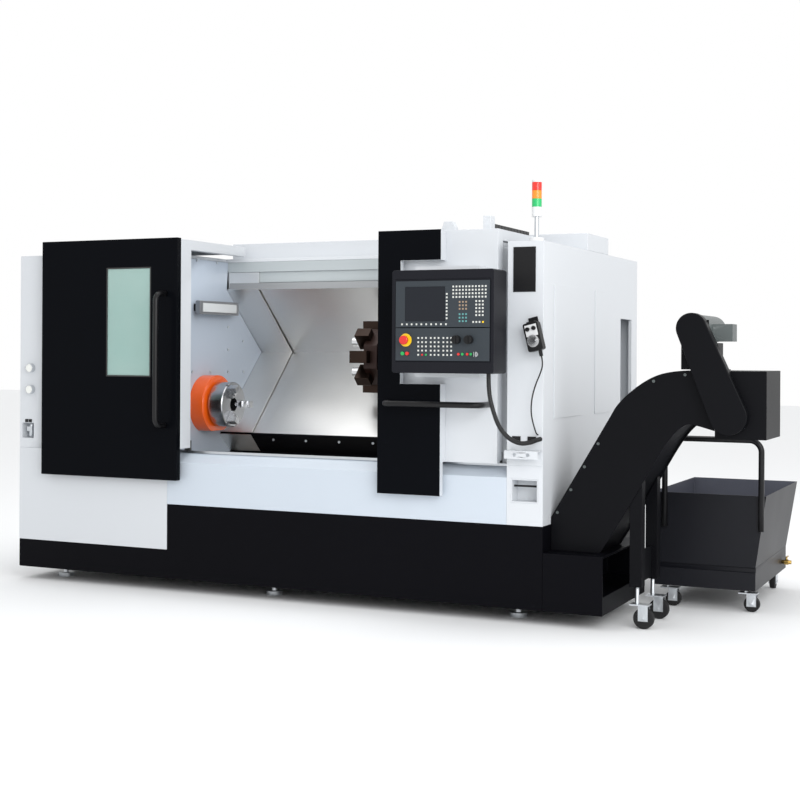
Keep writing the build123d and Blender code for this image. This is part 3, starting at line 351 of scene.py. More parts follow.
def bench_piece(node, name, material, bevel=0.0015, wanted=None, segments=2,
                split=True):
    """A worked copy of the shells of a CAD node that are wanted, with eased edges.

    A flat face round an opening is filled wrongly unless split cuts it into triangles.
    A few pieces are eased badly when split, so they are kept whole.
    """
    weld_gap, flat_within, sharp_from = 1e-6, radians(0.6), radians(32)
    work = bmesh.new()
    work.from_mesh(frame["nodes"][node].data)
    bmesh.ops.remove_doubles(work, verts=work.verts, dist=weld_gap)
    if wanted:
        unwanted = []
        for shell in loose_pieces(work):
            if not wanted(*shell_box(shell)):
                unwanted.extend(shell)
        bmesh.ops.delete(work, geom=unwanted, context="FACES")
    bmesh.ops.dissolve_limit(
        work, angle_limit=flat_within, verts=work.verts, edges=work.edges, delimit={"NORMAL"}
    )
    if split:
        bmesh.ops.triangulate(work, faces=[face for face in work.faces if len(face.verts) > 4])
    mesh = bpy.data.meshes.new(name)
    work.to_mesh(mesh)
    work.free()
    if not mesh.polygons:
        raise ValueError(f"{name} matches no solid of {node}")
    for face in mesh.polygons:
        face.use_smooth = True
    mesh.set_sharp_from_angle(angle=sharp_from)
    return placed(name, mesh, material, node, bevel, segments, harden=True)


def added_piece(name, mesh, material, node, bevel=0.0):
    """A piece that is made here, not copied; it belongs to a CAD node and rides its body."""
    return placed(name, mesh, material, node, bevel)


def rectangle(near_u, far_u, near_v, far_v):
    """Four corners in turn, as an outline for a prism."""
    return [(near_u, near_v), (far_u, near_v), (far_u, far_v), (near_u, far_v)]


def prism(name, outline, axis, near, far):
    """A closed outline drawn out along x, y or z, in metres from the machine's corner."""
    def spot(u, v, w):
        ordered = {"x": (w, u, v), "y": (u, w, v), "z": (u, v, w)}[axis]
        return machine_corner + Vector(ordered)

    count = len(outline)
    spots = [spot(u, v, near) for u, v in outline] + [spot(u, v, far) for u, v in outline]
    faces = [tuple(range(count)), tuple(range(2 * count - 1, count - 1, -1))]
    faces += [(i, count + i, count + (i + 1) % count, (i + 1) % count) for i in range(count)]
    mesh = bpy.data.meshes.new(name)
    mesh.from_pydata(spots, [], faces)
    work = bmesh.new()
    work.from_mesh(mesh)
    bmesh.ops.recalc_face_normals(work, faces=work.faces)
    work.to_mesh(mesh)
    work.free()
    return mesh


def screw_tree():
    """Geometry nodes: a socket head, with a round socket sunk in, on each point of a mesh."""
    tree, given = new_group("socket_heads", {
        "Points": "Geometry", "Head radius": "Float", "Head height": "Float",
        "Heading": "Vector", "Steel": "Material",
    })
    nodes, links = tree.nodes, tree.links
    head = nodes.new("GeometryNodeMeshCylinder")
    head.inputs["Vertices"].default_value = 24
    links.new(given.outputs["Head radius"], head.inputs["Radius"])
    links.new(given.outputs["Head height"], head.inputs["Depth"])
    inset = nodes.new("GeometryNodeExtrudeMesh")
    inset.inputs["Offset Scale"].default_value = 0.0
    links.new(head.outputs["Mesh"], inset.inputs["Mesh"])
    links.new(head.outputs["Top"], inset.inputs["Selection"])
    shrink = nodes.new("GeometryNodeScaleElements")
    shrink.inputs["Scale"].default_value = 0.52
    links.new(inset.outputs["Mesh"], shrink.inputs["Geometry"])
    links.new(inset.outputs["Top"], shrink.inputs["Selection"])
    depth = nodes.new("ShaderNodeMath")
    depth.operation = "MULTIPLY"
    depth.inputs[1].default_value = -0.55
    links.new(given.outputs["Head height"], depth.inputs[0])
    sink = nodes.new("GeometryNodeExtrudeMesh")
    links.new(shrink.outputs["Geometry"], sink.inputs["Mesh"])
    links.new(inset.outputs["Top"], sink.inputs["Selection"])
    links.new(depth.outputs[0], sink.inputs["Offset Scale"])
    end_group(tree, given.outputs["Points"], given.outputs["Heading"], sink.outputs["Mesh"],
              given.outputs["Steel"])
    return tree


socket_heads = screw_tree()
facing = {"front": (pi / 2, 0, 0), "right": (0, pi / 2, 0)}


def screws(name, spots, way, radius, height, material, node):
    """One mesh of screw heads at spots in metres from the machine's corner."""
    points = bpy.data.meshes.new(name + "_points")
    points.from_pydata([machine_corner + Vector(spot) for spot in spots], [], [])
    holder = bpy.data.objects.new(name + "_points", points)
    bpy.context.scene.collection.objects.link(holder)
    heads = grown(holder, socket_heads, {
        "Head radius": radius, "Head height": height, "Heading": facing[way], "Steel": material,
    })
    return added_piece(name, heads, material, node)


def longer(axis, least):
    """A test that picks the shells which measure more than this along an axis."""
    return lambda low, high: high["xyz".index(axis)] - low["xyz".index(axis)] > least


def shorter(axis, most):
    """A test that picks the shells which measure less than this along an axis."""
    return lambda low, high: high["xyz".index(axis)] - low["xyz".index(axis)] < most


feet_top = 0.2
base_enamel = finish("satin_black_enamel", (0.003, 0.003, 0.0045), 0.36, shade=0.25, grain=420,
                     grain_depth=0.0002, blotch=0.8, gleam=0.05)
zinc_steel = finish("zinc_plated_steel", (0.62, 0.65, 0.68), 0.32, metallic=1.0, shade=0.16,
                    blotch=30, grain=700, grain_depth=0.0001, swing=0.12)
bench_piece("base_skirt", "base_skirt_shell", base_enamel, bevel=0.004,
            wanted=lambda low, high: high.z > feet_top, split=False)
bench_piece("base_skirt", "levelling_feet", zinc_steel, bevel=0.0015,
            wanted=lambda low, high: high.z < feet_top)

# Coolant tank and pump. A black tank slides in under the right end and is open at its own
# right end, and a small upright pump stands on its top.
pump_foot = 0.2
pump_paint = finish("pump_grey", (0.13, 0.15, 0.16), 0.42, shade=0.15, grain=600)
bench_piece("coolant_tank", "coolant_tank_box", base_enamel, bevel=0.003,
            wanted=lambda low, high: low.z < pump_foot)
bench_piece("coolant_tank", "coolant_pump", pump_paint, bevel=0.002,
            wanted=lambda low, high: low.z > pump_foot)

# Enclosure panels. Sheet steel folded at its edges and sprayed with a textured off-white
# enamel, which has a fine orange-peel grain. The left lower cover's edges stay sharp,
# because easing them would take it past the machine's end.
white_enamel = finish("off_white_enamel", (0.62, 0.645, 0.675), 0.42, shade=0.03, grain=330,
                      grain_depth=0.0003, blotch=0.7, swing=0.05, coat=0.08)
bench_piece("left_lower_panel", "left_lower_cover", white_enamel, bevel=0.0)
bench_piece("rear_panel", "rear_cover", white_enamel, bevel=0.003)
rail_enamel = finish("rail_enamel", (0.40, 0.44, 0.455), 0.40, shade=0.04, grain=330,
                     grain_depth=0.0002)
roof_underside = 1.75
bench_piece("roof_panel", "top_door_rail", rail_enamel, bevel=0.002,
            wanted=lambda low, high: low.z < roof_underside, split=False)
bench_piece("roof_panel", "roof_cover", white_enamel, bevel=0.003,
            wanted=lambda low, high: low.z >= roof_underside)
service_column_right = 0.2
bench_piece("left_cabinet", "left_cabinet_shell", white_enamel, bevel=0.003,
            wanted=lambda low, high: high.x > service_column_right)

# Gauges and air unit of the left service column. Two dial gauges in bright rings, and
# below them two black terminal plates over the recess with the air regulator.
gauge_steel = finish("gauge_ring_steel", (0.66, 0.68, 0.70), 0.22, metallic=1.0, grain=900)
gauge_face = finish("gauge_face_white", (0.80, 0.81, 0.78), 0.5, shade=0.03, grain=500)
plate_black = finish("moulded_black", (0.008, 0.008, 0.009), 0.45, shade=0.2, grain=800, gleam=0.25)
air_unit_top, plates_top, dial_back, widest_dial = 0.9, 1.0, -0.01, 0.05


def on_service_column(low, high, lowest, highest):
    """Whether a shell is on the service column with its top between two heights."""
    return high.x < service_column_right and lowest < high.z < highest


bench_piece("left_cabinet", "gauge_rings", gauge_steel, bevel=0.0008,
            wanted=lambda low, high: on_service_column(low, high, plates_top, roof_underside)
            and high.y > dial_back and high.x - low.x > widest_dial)
bench_piece("left_cabinet", "gauge_dials", gauge_face, bevel=0.0,
            wanted=lambda low, high: on_service_column(low, high, plates_top, roof_underside)
            and high.y < dial_back)
bench_piece("left_cabinet", "air_unit", zinc_steel, bevel=0.001,
            wanted=lambda low, high: on_service_column(low, high, 0.0, air_unit_top))
bench_piece("left_cabinet", "terminal_plates", plate_black, bevel=0.001,
            wanted=lambda low, high: on_service_column(low, high, air_unit_top, plates_top))

# Headstock wall. A sheet wall closes the machining room at the left, coloured blue-grey as
# painted shade. Cap screws hold it, and a flat work lamp with a pale face stands off it on two blocks.
# The wall's blue-grey colour is painted shade.
wall_painted_shade = finish("room_wall_painted_shade", (0.44, 0.50, 0.58), 0.38, shade=0.05, grain=350,
                     grain_depth=0.0002, blotch=0.9)
lamp_case = finish("lamp_case_aluminium", (0.30, 0.31, 0.33), 0.35, metallic=0.8, grain=700)
wall_face, tallest_fitting = 1.0, 0.5
bench_piece("headstock_wall", "headstock_wall_sheet", wall_painted_shade, bevel=0.002,
            wanted=longer("z", tallest_fitting))
lamp_back, lamp_front, lamp_near, lamp_far = 1.030, 1.062, 0.257, 0.671
lamp_foot, lamp_top = 1.527, 1.604
lamp_outline = rectangle(lamp_back, lamp_front, lamp_foot, lamp_top)
added_piece("work_lamp", prism("work_lamp", lamp_outline, "y", lamp_near, lamp_far), lamp_case,
            "headstock_wall", bevel=0.004)
lamp_glow = finish("lamp_diffuser", (0.58, 0.60, 0.61), 0.3, shade=0.03, grain=600)
glow_front, glow_near, glow_far, glow_foot, glow_top = 1.0655, 0.285, 0.640, 1.541, 1.590
glow_outline = rectangle(lamp_front, glow_front, glow_foot, glow_top)
added_piece("lamp_face", prism("lamp_face", glow_outline, "y", glow_near, glow_far), lamp_glow,
            "headstock_wall", bevel=0.001)
block_half_width, block_foot, block_top = 0.014, 1.545, 1.586
for number, lamp_y in enumerate((0.300, 0.620), start=1):
    name = f"lamp_block_{number}"
    lamp_block = prism(name, rectangle(wall_face, lamp_back, block_foot, block_top), "y",
                       lamp_y - block_half_width, lamp_y + block_half_width)
    added_piece(name, lamp_block, plate_black, "headstock_wall", bevel=0.002)
screw_seat = 1.002
wall_screws = [(0.316, 1.835), (0.526, 1.832), (0.650, 1.461), (0.818, 1.380), (0.651, 1.328),
               (0.272, 1.200), (0.462, 1.201), (0.649, 1.197), (0.824, 1.195)]
screws("wall_screws", [(screw_seat, y, z) for y, z in wall_screws], "right", radius=0.008,
       height=0.005, material=zinc_steel, node="headstock_wall")

# Front sill. A folded sill runs under the doors, its white paint coloured pale blue as painted
# shade, with a plated lower rail on its top for the guide shoes, and a fixed white panel above it.
rail_foot, rail_top, panel_least = 0.7, 0.8, 1.0
# The sill's pale blue is painted shade on white paint.
sill_painted_shade = finish("sill_painted_shade", (0.55, 0.61, 0.68), 0.36, shade=0.05, grain=350)
bench_piece("front_sill", "front_sill_sheet", sill_painted_shade, bevel=0.002,
            wanted=lambda low, high: low.z < rail_foot and high.z < rail_top)
bench_piece("front_sill", "lower_door_rail", zinc_steel, bevel=0.001,
            wanted=lambda low, high: low.z > rail_foot and high.z < rail_top)
bench_piece("front_sill", "fixed_front_panel", white_enamel, bevel=0.002,
            wanted=lambda low, high: high.z > panel_least)

# Way covers. Brushed stainless sheet, folded to shield the slanted bed. The brush marks
# run along the machine, so the grain is long in x and short across.
brushed_cover = finish("brushed_stainless", (0.78, 0.78, 0.77), 0.36, metallic=1.0, shade=0.13,
                       blotch=3.0, grain=60, grain_depth=0.0001, swing=0.09, stretch=(0.6, 9, 9))
bench_piece("sliding_cover", "sliding_cover_sheet", brushed_cover, bevel=0.0008)
bench_piece("fixed_cover_strip", "fixed_cover_sheet", brushed_cover, bevel=0.0008)

strip_start, strip_end = 1.0, 1.2115
foot_outline = [(0.5665, 0.8345), (0.6755, 0.7325), (0.6765, 0.7338), (0.5675, 0.8358)]
strip_foot = prism("fixed_strip_foot", foot_outline, "x", strip_start, strip_end)
added_piece("fixed_strip_foot", strip_foot, brushed_cover, "fixed_cover_strip")
flange_near, flange_far, flange_foot, flange_top = 0.6425, 0.6455, 1.679, 1.718
flange_start, flange_end = 1.015, 2.700
flange_outline = rectangle(flange_near, flange_far, flange_foot, flange_top)
cover_flange = prism("sliding_cover_top_flange", flange_outline, "x", flange_start, flange_end)
plate_near, plate_far, plate_foot, plate_top = 0.650, 0.655, 1.684, 1.781
plate_outline = rectangle(1.002, 1.2105, plate_foot, plate_top)
top_plate = prism("strip_top_plate", plate_outline, "y", plate_near, plate_far)
added_piece("strip_top_plate", top_plate, brushed_cover, "fixed_cover_strip", bevel=0.0006)
flange_steel = finish("cover_flange_steel", (0.30, 0.31, 0.32), 0.5, metallic=0.4, shade=0.1, grain=200)
added_piece("sliding_cover_top_flange", cover_flange, flange_steel, "sliding_cover", bevel=0.0006)

# Apron and chip tray. The black apron runs under the covers and carries a row of screws;
# the tray leads chips to the conveyor.
tray_top = 0.8
tray_steel = finish("tray_steel", (0.52, 0.51, 0.48), 0.40, metallic=0.9, shade=0.12, grain=300)
bench_piece("apron", "apron_sheet", base_enamel, bevel=0.0015,
            wanted=lambda low, high: high.z > tray_top)
bench_piece("apron", "chip_tray", tray_steel, bevel=0.0015,
            wanted=lambda low, high: high.z < tray_top)

first_screw, screw_pitch, screw_count = 1.347, 0.213, 8
apron_screws = [(first_screw + screw_pitch * n, 0.5945, 0.8085) for n in range(screw_count)]
screws("apron_screws", apron_screws, "front", radius=0.007, height=0.005, material=zinc_steel,
       node="apron")

# Slanted bed, saddle and ball screw. A grey-painted casting with ground guide rails and a
# polished screw, which the covers hide; they show only when the covers move away.
casting_paint = finish("casting_paint", (0.22, 0.25, 0.28), 0.55, shade=0.15, blotch=6, grain=180,
                       grain_depth=0.0008)
ground_steel = finish("ground_steel", (0.58, 0.59, 0.60), 0.22, metallic=1.0, shade=0.12, blotch=20,
                      grain=120, grain_depth=0.00005, stretch=(0.4, 8, 8))
tallest_rail = 0.3
bench_piece("slant_bed", "bed_casting", casting_paint, bevel=0.003,
            wanted=longer("z", tallest_rail))
bench_piece("slant_bed", "bed_guide_rails", ground_steel, bevel=0.001,
            wanted=shorter("z", tallest_rail))
bench_piece("saddle", "saddle_casting", casting_paint, bevel=0.002)
bench_piece("ball_screw", "ball_screw_bar", ground_steel, bevel=0.0005)
bench_piece("headstock", "headstock_casting", casting_paint, bevel=0.004)

# Spindle guard. An orange enamelled steel ring with a flat at its foot, which stands on the
# wall round the spindle nose.
orange_enamel = finish("orange_enamel", (0.86, 0.115, 0.006), 0.28, shade=0.10, grain=380,
                       grain_depth=0.0001, coat=0.35)
bench_piece("spindle_guard", "spindle_guard_ring", orange_enamel, bevel=0.004, segments=3)

# Chuck. Three stepped jaws slide in a turned steel body; the body, spindle and jaws are
# hard bright steel with a fine grain.
chuck_steel = finish("turned_chuck_steel", (0.50, 0.51, 0.53), 0.24, metallic=1.0, shade=0.2,
                     blotch=14, grain=240, grain_depth=0.00008, swing=0.10)
jaw_steel = finish("ground_jaw_steel", (0.62, 0.63, 0.65), 0.27, metallic=1.0, shade=0.16,
                   blotch=25, grain=300, grain_depth=0.00006)
bench_piece("spindle", "spindle_bar", ground_steel, bevel=0.001)
bench_piece("chuck_body", "chuck_body_turned", chuck_steel, bevel=0.0015)
for number in (1, 2, 3):
    bench_piece(f"chuck_jaw_{number}", f"stepped_jaw_{number}", jaw_steel, bevel=0.0012)

# Turret. A dark brown phosphated disc with tool blocks on its flats, on a slide block of
# the same finish; the tool tips are bright.
turret_brown = finish("phosphated_turret", (0.026, 0.010, 0.007), 0.40, metallic=0.5, shade=0.35,
                      blotch=12, grain=220, grain_depth=0.0003, swing=0.12)
block_steel = finish("tool_block_steel", (0.034, 0.021, 0.016), 0.34, metallic=0.9, shade=0.25,
                     blotch=18, grain=260, grain_depth=0.0002)
bench_piece("turret_disc", "turret_disc_turned", turret_brown, bevel=0.002)
bench_piece("turret_slide", "turret_slide_block", turret_brown, bevel=0.003)
tip_steel = finish("bright_tool_steel", (0.66, 0.67, 0.68), 0.20, metallic=1.0, grain=300)
longest_tip = 0.05
bench_piece("tool_holders", "tool_blocks", block_steel, bevel=0.0015,
            wanted=longer("x", longest_tip))
bench_piece("tool_holders", "tool_tips_and_nuts", tip_steel, bevel=0.001,
            wanted=lambda low, high: high.x - low.x <= longest_tip)

# Leading door. A black enamelled skin on a white hood frame, with a laminated window set
# in a dark seal, and a bent steel tube for a handle.
door_enamel = finish("door_black_enamel", (0.003, 0.0035, 0.005), 0.26, shade=0.2, grain=380,
                     grain_depth=0.00012, blotch=0.6, gleam=0.03)
handle_paint = finish("handle_black", (0.006, 0.006, 0.007), 0.30, shade=0.2, grain=500, gleam=0.3)
slide_plastic = finish("slide_plastic", (0.03, 0.03, 0.03), 0.6, shade=0.2, grain=400)
narrowest_sheet = 0.3
bench_piece("door_skin", "door_skin_sheet", door_enamel, bevel=0.003,
            wanted=longer("x", narrowest_sheet))
bench_piece("door_skin", "door_handle_tube", handle_paint, bevel=0.0,
            wanted=shorter("x", narrowest_sheet))
bench_piece("door_frame", "door_hood_frame", white_enamel, bevel=0.002,
            wanted=longer("x", narrowest_sheet))
bench_piece("door_frame", "door_guide_shoes", slide_plastic, bevel=0.001,
            wanted=shorter("x", narrowest_sheet))

laminated_glass = bpy.data.materials.new("laminated_glass")
laminated_glass.use_nodes = True
glass_nodes = laminated_glass.node_tree.nodes
glass_links = laminated_glass.node_tree.links
glass_shader = glass_nodes["Principled BSDF"]
glass_shader.inputs["Transmission Weight"].default_value = 0.45
glass_shader.inputs["IOR"].default_value = 1.45
glass_place = glass_nodes.new("ShaderNodeTexCoord")
glass_haze = glass_nodes.new("ShaderNodeTexNoise")
glass_haze.inputs["Scale"].default_value = 3.0
glass_links.new(glass_place.outputs["Object"], glass_haze.inputs["Vector"])
glass_tone = glass_nodes.new("ShaderNodeMix")
glass_tone.data_type = "RGBA"
glass_tone.inputs[6].default_value = (0.42, 0.66, 0.61, 1)
glass_tone.inputs[7].default_value = (0.58, 0.78, 0.73, 1)
glass_links.new(glass_haze.outputs["Fac"], glass_tone.inputs[0])
glass_links.new(glass_tone.outputs[2], glass_shader.inputs["Base Color"])
glass_gloss = glass_nodes.new("ShaderNodeMapRange")
glass_gloss.inputs["To Min"].default_value = 0.05
glass_gloss.inputs["To Max"].default_value = 0.12
glass_links.new(glass_haze.outputs["Fac"], glass_gloss.inputs["Value"])
glass_links.new(glass_gloss.outputs["Result"], glass_shader.inputs["Roughness"])
bench_piece("door_window", "door_window_pane", laminated_glass, bevel=0.001)
seal_left, seal_right, seal_foot, seal_top, seal_width = 0.651, 0.949, 1.174, 1.777, 0.008
seal_near, seal_far = -0.0575, -0.0545
inner_left, inner_right = seal_left + seal_width, seal_right - seal_width
for name, sides in (
    ("window_seal_left", (seal_left, inner_left, seal_foot, seal_top)),
    ("window_seal_right", (inner_right, seal_right, seal_foot, seal_top)),
    ("window_seal_low", (inner_left, inner_right, seal_foot, seal_foot + seal_width)),
    ("window_seal_top", (inner_left, inner_right, seal_top - seal_width, seal_top)),
):
    seal = prism(name, rectangle(*sides), "y", seal_near, seal_far)
    added_piece(name, seal, slide_plastic, "door_window", bevel=0.0008)

# Second leaf. It carries the operator panel: a black strip with a notch, whose edges are white
# but for the left one, a white body with roof beams, a tube handle, a cable chain and a roof plate.
lowest_sheet, shoes_top, roof_level, longest_fitting = 0.3, 1.0, 1.9, 0.3
black_strip = bench_piece("carrier_strip", "leaf_black_strip", door_enamel, bevel=0.003,
                          wanted=longer("z", lowest_sheet))
black_strip.data.materials.append(white_enamel)
for face in black_strip.data.polygons:
    if face.normal.y > -0.5 and face.normal.x > -0.5:
        face.material_index = 1
bench_piece("carrier_strip", "leaf_handle_tube", handle_paint, bevel=0.0,
            wanted=shorter("z", lowest_sheet))
bench_piece("carrier_body", "leaf_white_body", white_enamel, bevel=0.002,
            wanted=longer("z", lowest_sheet))
bench_piece("carrier_body", "leaf_guide_shoes", slide_plastic, bevel=0.001,
            wanted=lambda low, high: high.z < shoes_top and high.z - low.z < lowest_sheet)
bench_piece("carrier_body", "cable_chain", slide_plastic, bevel=0.001,
            wanted=lambda low, high: low.z > roof_level and high.y - low.y > longest_fitting)
bench_piece("carrier_body", "roof_fittings", white_enamel, bevel=0.0015,
            wanted=lambda low, high: low.z > roof_level and high.y - low.y < longest_fitting)

# Operator panel. A dark textured housing carries two membrane plates. On them are a dull
# screen, the yellow ring of the stop, and fields of pale, teal, brown, red and green keys.
panel_case = finish("panel_housing_paint", (0.0055, 0.006, 0.010), 0.50, shade=0.2, grain=520,
                    grain_depth=0.0003, gleam=0.2)
membrane_grey = finish("membrane_grey", (0.030, 0.038, 0.046), 0.45, shade=0.12, grain=800,
                       gleam=0.3)
bench_piece("control_box", "operator_housing", panel_case, bevel=0.003, segments=3)
bench_piece("panel_plates", "panel_membranes", membrane_grey, bevel=0.0012, split=False)
stop_yellow = finish("warning_yellow", (0.86, 0.56, 0.01), 0.38, shade=0.06, grain=600)
screen_glass = finish("screen_glass", (0.012, 0.014, 0.019), 0.16, shade=0.1, blotch=2.0, grain=5,
                      grain_depth=0.0, swing=0.03, gleam=0.2)
screen_left, screen_right, screen_foot, screen_top = 2.607, 2.813, 1.465, 1.628
screen_near, screen_far = -0.3318, -0.3290
screen_outline = rectangle(screen_left, screen_right, screen_foot, screen_top)
screen = prism("panel_screen", screen_outline, "y", screen_near, screen_far)
added_piece("panel_screen", screen, screen_glass, "panel_plates", bevel=0.0008)


def disc(name, x, z, radius, near_y, far_y, sides=40):
    """A round plate that faces the operator."""
    outline = [(x + radius * cos(2 * pi * n / sides), z + radius * sin(2 * pi * n / sides))
               for n in range(sides)]
    return prism(name, outline, "y", near_y, far_y)


stop_disc = disc("stop_ring", x=2.612, z=1.375, radius=0.031, near_y=-0.3354, far_y=-0.3312)
added_piece("stop_ring", stop_disc, stop_yellow, "panel_plates", bevel=0.0006)
key_pale = finish("pale_membrane_key", (0.60, 0.61, 0.58), 0.5, shade=0.08, grain=700)
key_teal = finish("teal_membrane_key", (0.10, 0.30, 0.30), 0.5, shade=0.08, grain=700)
key_brown = finish("brown_membrane_key", (0.32, 0.23, 0.16), 0.5, shade=0.08, grain=700)


key_fields = {
    "teal": (2.88, 2.94, 1.455, 1.51),
    "brown": (2.88, 2.94, 1.51, 1.565),
    "red": (2.69, 2.702, 1.29, 1.311),
    "green": (2.71, 2.722, 1.29, 1.311),
}


def key_colour(low, high):
    """Name of a key's colour, from the field that its middle is in."""
    x, z = (low.x + high.x) / 2, (low.z + high.z) / 2
    for colour, (left, right, foot, top) in key_fields.items():
        if left < x < right and foot < z < top:
            return colour
    return "pale"


button_red = finish("button_red", (0.62, 0.018, 0.012), 0.26, shade=0.08, grain=600, coat=0.3)
button_green = finish("button_green", (0.015, 0.36, 0.08), 0.28, shade=0.08, grain=600, coat=0.3)
for colour, material in (("pale", key_pale), ("teal", key_teal), ("brown", key_brown),
                         ("red", button_red), ("green", button_green)):
    bench_piece("panel_keys", f"membrane_keys_{colour}", material, bevel=0.0005,
                wanted=lambda low, high: key_colour(low, high) == colour)

# Buttons and knobs of the operator panel. The lowest row of keys of the upper plate, a red
# mushroom stop, red and green push buttons, two black knobs with a grip bar, a key switch.
key_side, row_foot, row_top = 0.0084, 1.456, 1.4644
key_near, key_far = -0.3326, -0.3311
for number, key_x in enumerate((2.954, 2.970, 2.986, 3.003), start=1):
    name = f"lower_row_key_{number}"
    key = prism(name, rectangle(key_x, key_x + key_side, row_foot, row_top), "y", key_near, key_far)
    added_piece(name, key, stop_yellow if number == 4 else key_pale,
                "panel_keys", bevel=0.0005)
for node, name, material in (
    ("emergency_stop", "emergency_stop_mushroom", button_red),
    ("red_stop_button", "red_button_cap", button_red),
    ("green_start_button", "green_button_cap", button_green),
    ("feed_knob", "feed_knob_grip", plate_black),
    ("spindle_knob", "spindle_knob_grip", plate_black),
    ("key_switch", "key_switch_lock", ground_steel),
):
    bench_piece(node, name, material, bevel=0.0007)
button_z, button_radius, cap_near, cap_far = 1.309, 0.0065, -0.3365, -0.3310
for name, button_x, material in (
    ("left_push_red", 2.885, button_red), ("left_push_green", 2.905, button_green),
    ("right_push_red", 2.930, button_red), ("right_push_green", 2.948, button_green),
):
    cap = disc(name, button_x, button_z, button_radius, cap_near, cap_far, sides=24)
    added_piece(name, cap, material, "panel_plates", bevel=0.0006)

# Right column. A white sheet column closes the right end, with a recess for tools and a bar
# in it, access panels, a bare black sign plate, a bracket shelf, cable plates and a hook.
column_least_height, column_side, cover_least_depth = 1.0, 3.18, 0.2
bench_piece("right_column", "right_column_shell", white_enamel, bevel=0.003,
            wanted=longer("z", column_least_height))
bench_piece("right_column", "access_covers", white_enamel, bevel=0.0012,
            wanted=lambda low, high: low.x > column_side and high.y - low.y > cover_least_depth)
sign_foot, sign_top, sign_back, sign_least_width = 1.6, 1.85, 0.01, 0.09
bench_piece("right_column", "bare_sign_plate", plate_black, bevel=0.0006,
            wanted=lambda low, high: low.z > sign_foot and high.z < sign_top
            and high.y < sign_back and high.x - low.x > sign_least_width)
recess_foot, recess_top, thickest_bar = 0.5, 0.71, 0.05
bench_piece("right_column", "tool_recess_pan", white_enamel, bevel=0.001,
            wanted=lambda low, high: low.z > recess_foot and high.z < recess_top
            and high.z - low.z > thickest_bar)
bench_piece("right_column", "tool_bar", plate_black, bevel=0.0,
            wanted=lambda low, high: high.z < recess_top and high.z - low.z < thickest_bar)
shelf_low, shelf_high, plates_low, plates_high = 0.75, 0.78, 0.88, 0.95
bench_piece("right_column", "bracket_shelf_sheet", white_enamel, bevel=0.001,
            wanted=lambda low, high: shelf_low < low.z < shelf_high)
bench_piece("right_column", "cable_plates", plate_black, bevel=0.0008,
            wanted=lambda low, high: plates_low < low.z < plates_high)
hook_low, hook_high, hook_widest = 1.3, 1.6, 0.1
bench_piece("right_column", "pendant_hook", plate_black, bevel=0.0008,
            wanted=lambda low, high: hook_low < low.z < hook_high
            and high.x - low.x < hook_widest)

# Handwheel pendant. Its case is black moulded plastic, which hangs at a lean; the dial on
# its face is bright, and a bare white label plate is above the dial.
white_plastic = finish("white_plastic", (0.70, 0.71, 0.72), 0.35, shade=0.04, grain=500)
bench_piece("pendant_case", "pendant_housing", plate_black, bevel=0.0015)
bench_piece("pendant_dial", "pendant_dial_wheel", ground_steel, bevel=0.0012)
pendant_seat, pendant_lean = Vector((3.160, 0.0, 1.392)), radians(-14.0)
label_half_width, label_foot, label_top = 0.030, 0.006, 0.062
label_near, label_far = -0.0712, -0.0699
label_outline = rectangle(-label_half_width, label_half_width, label_foot, label_top)
pendant_label = prism("pendant_label", label_outline, "y", label_near, label_far)
pendant_label.transform(Matrix.Translation(-machine_corner))
pendant_label.transform(Matrix.Rotation(pendant_lean, 4, "Y"))
pendant_label.transform(Matrix.Translation(machine_corner + pendant_seat))
added_piece("pendant_label", pendant_label, white_plastic, "pendant_case", bevel=0.0005)

# Conveyor. A bent casing of black sheet lifts chips to a hood; the motor stands on top
# and drives it through a chain under a rounded guard.
conveyor_paint = finish("conveyor_black", (0.0045, 0.0047, 0.006), 0.40, shade=0.22, grain=300,
                        grain_depth=0.0003, blotch=1.6, gleam=0.07)
motor_grey = finish("motor_grey_green", (0.085, 0.10, 0.10), 0.42, shade=0.15, grain=300)


def rounded(run, passes=3):
    """Cut the corners of an open run of points, with its ends kept."""
    near, far = 0.75, 0.25
    for _ in range(passes):
        smooth = [run[0]]
        for (x0, z0), (x1, z1) in zip(run, run[1:]):
            smooth += [(near * x0 + far * x1, near * z0 + far * z1),
                       (far * x0 + near * x1, far * z0 + near * z1)]
        run = smooth + [run[-1]]
    return run


plate_over = [(3.1925, 0.515), (3.480, 0.998), (3.528, 1.084), (3.656, 1.190), (3.773, 1.236),
              (3.989, 1.2425)]
plate_under = [(3.989, 0.957), (3.900, 0.982), (3.856, 0.988), (3.796, 0.940), (3.723, 0.834),
               (3.594, 0.600), (3.4405, 0.3525)]
trough_over = [(3.1925, 0.512), (3.486, 0.989), (3.533, 1.075), (3.660, 1.180), (3.775, 1.227),
               (3.989, 1.2345)]
trough_under = [(3.989, 0.965), (3.900, 0.990), (3.853, 0.996), (3.788, 0.948), (3.715, 0.840),
                (3.586, 0.605), (3.432, 0.3525)]
foot_corner = [(3.1925, 0.3525)]
for name, over, under, near_y, far_y in (
    ("conveyor_trough", trough_over, trough_under, 0.1262, 0.4738),
    ("conveyor_side_near", plate_over, plate_under, 0.120, 0.126),
    ("conveyor_side_far", plate_over, plate_under, 0.474, 0.480),
):
    sheet = prism(name, rounded(over) + rounded(under) + foot_corner, "y", near_y, far_y)
    added_piece(name, sheet, conveyor_paint, "conveyor_casing", bevel=0.0012)
bolt_y = 0.1195
edge_spots = [(3.225 + 0.068 * n, bolt_y, 0.5380 + 0.1142 * n) for n in range(4)]
edge_spots += [(3.700, bolt_y, 1.186), (3.850, bolt_y, 1.218), (3.960, bolt_y, 1.222)]
screws("conveyor_edge_bolts", edge_spots, "front", radius=0.007, height=0.005,
       material=motor_grey, node="conveyor_casing")
hood_near = 0.11
bench_piece("conveyor_head", "conveyor_hood", conveyor_paint, bevel=0.002,
            wanted=lambda low, high: low.y > hood_near)
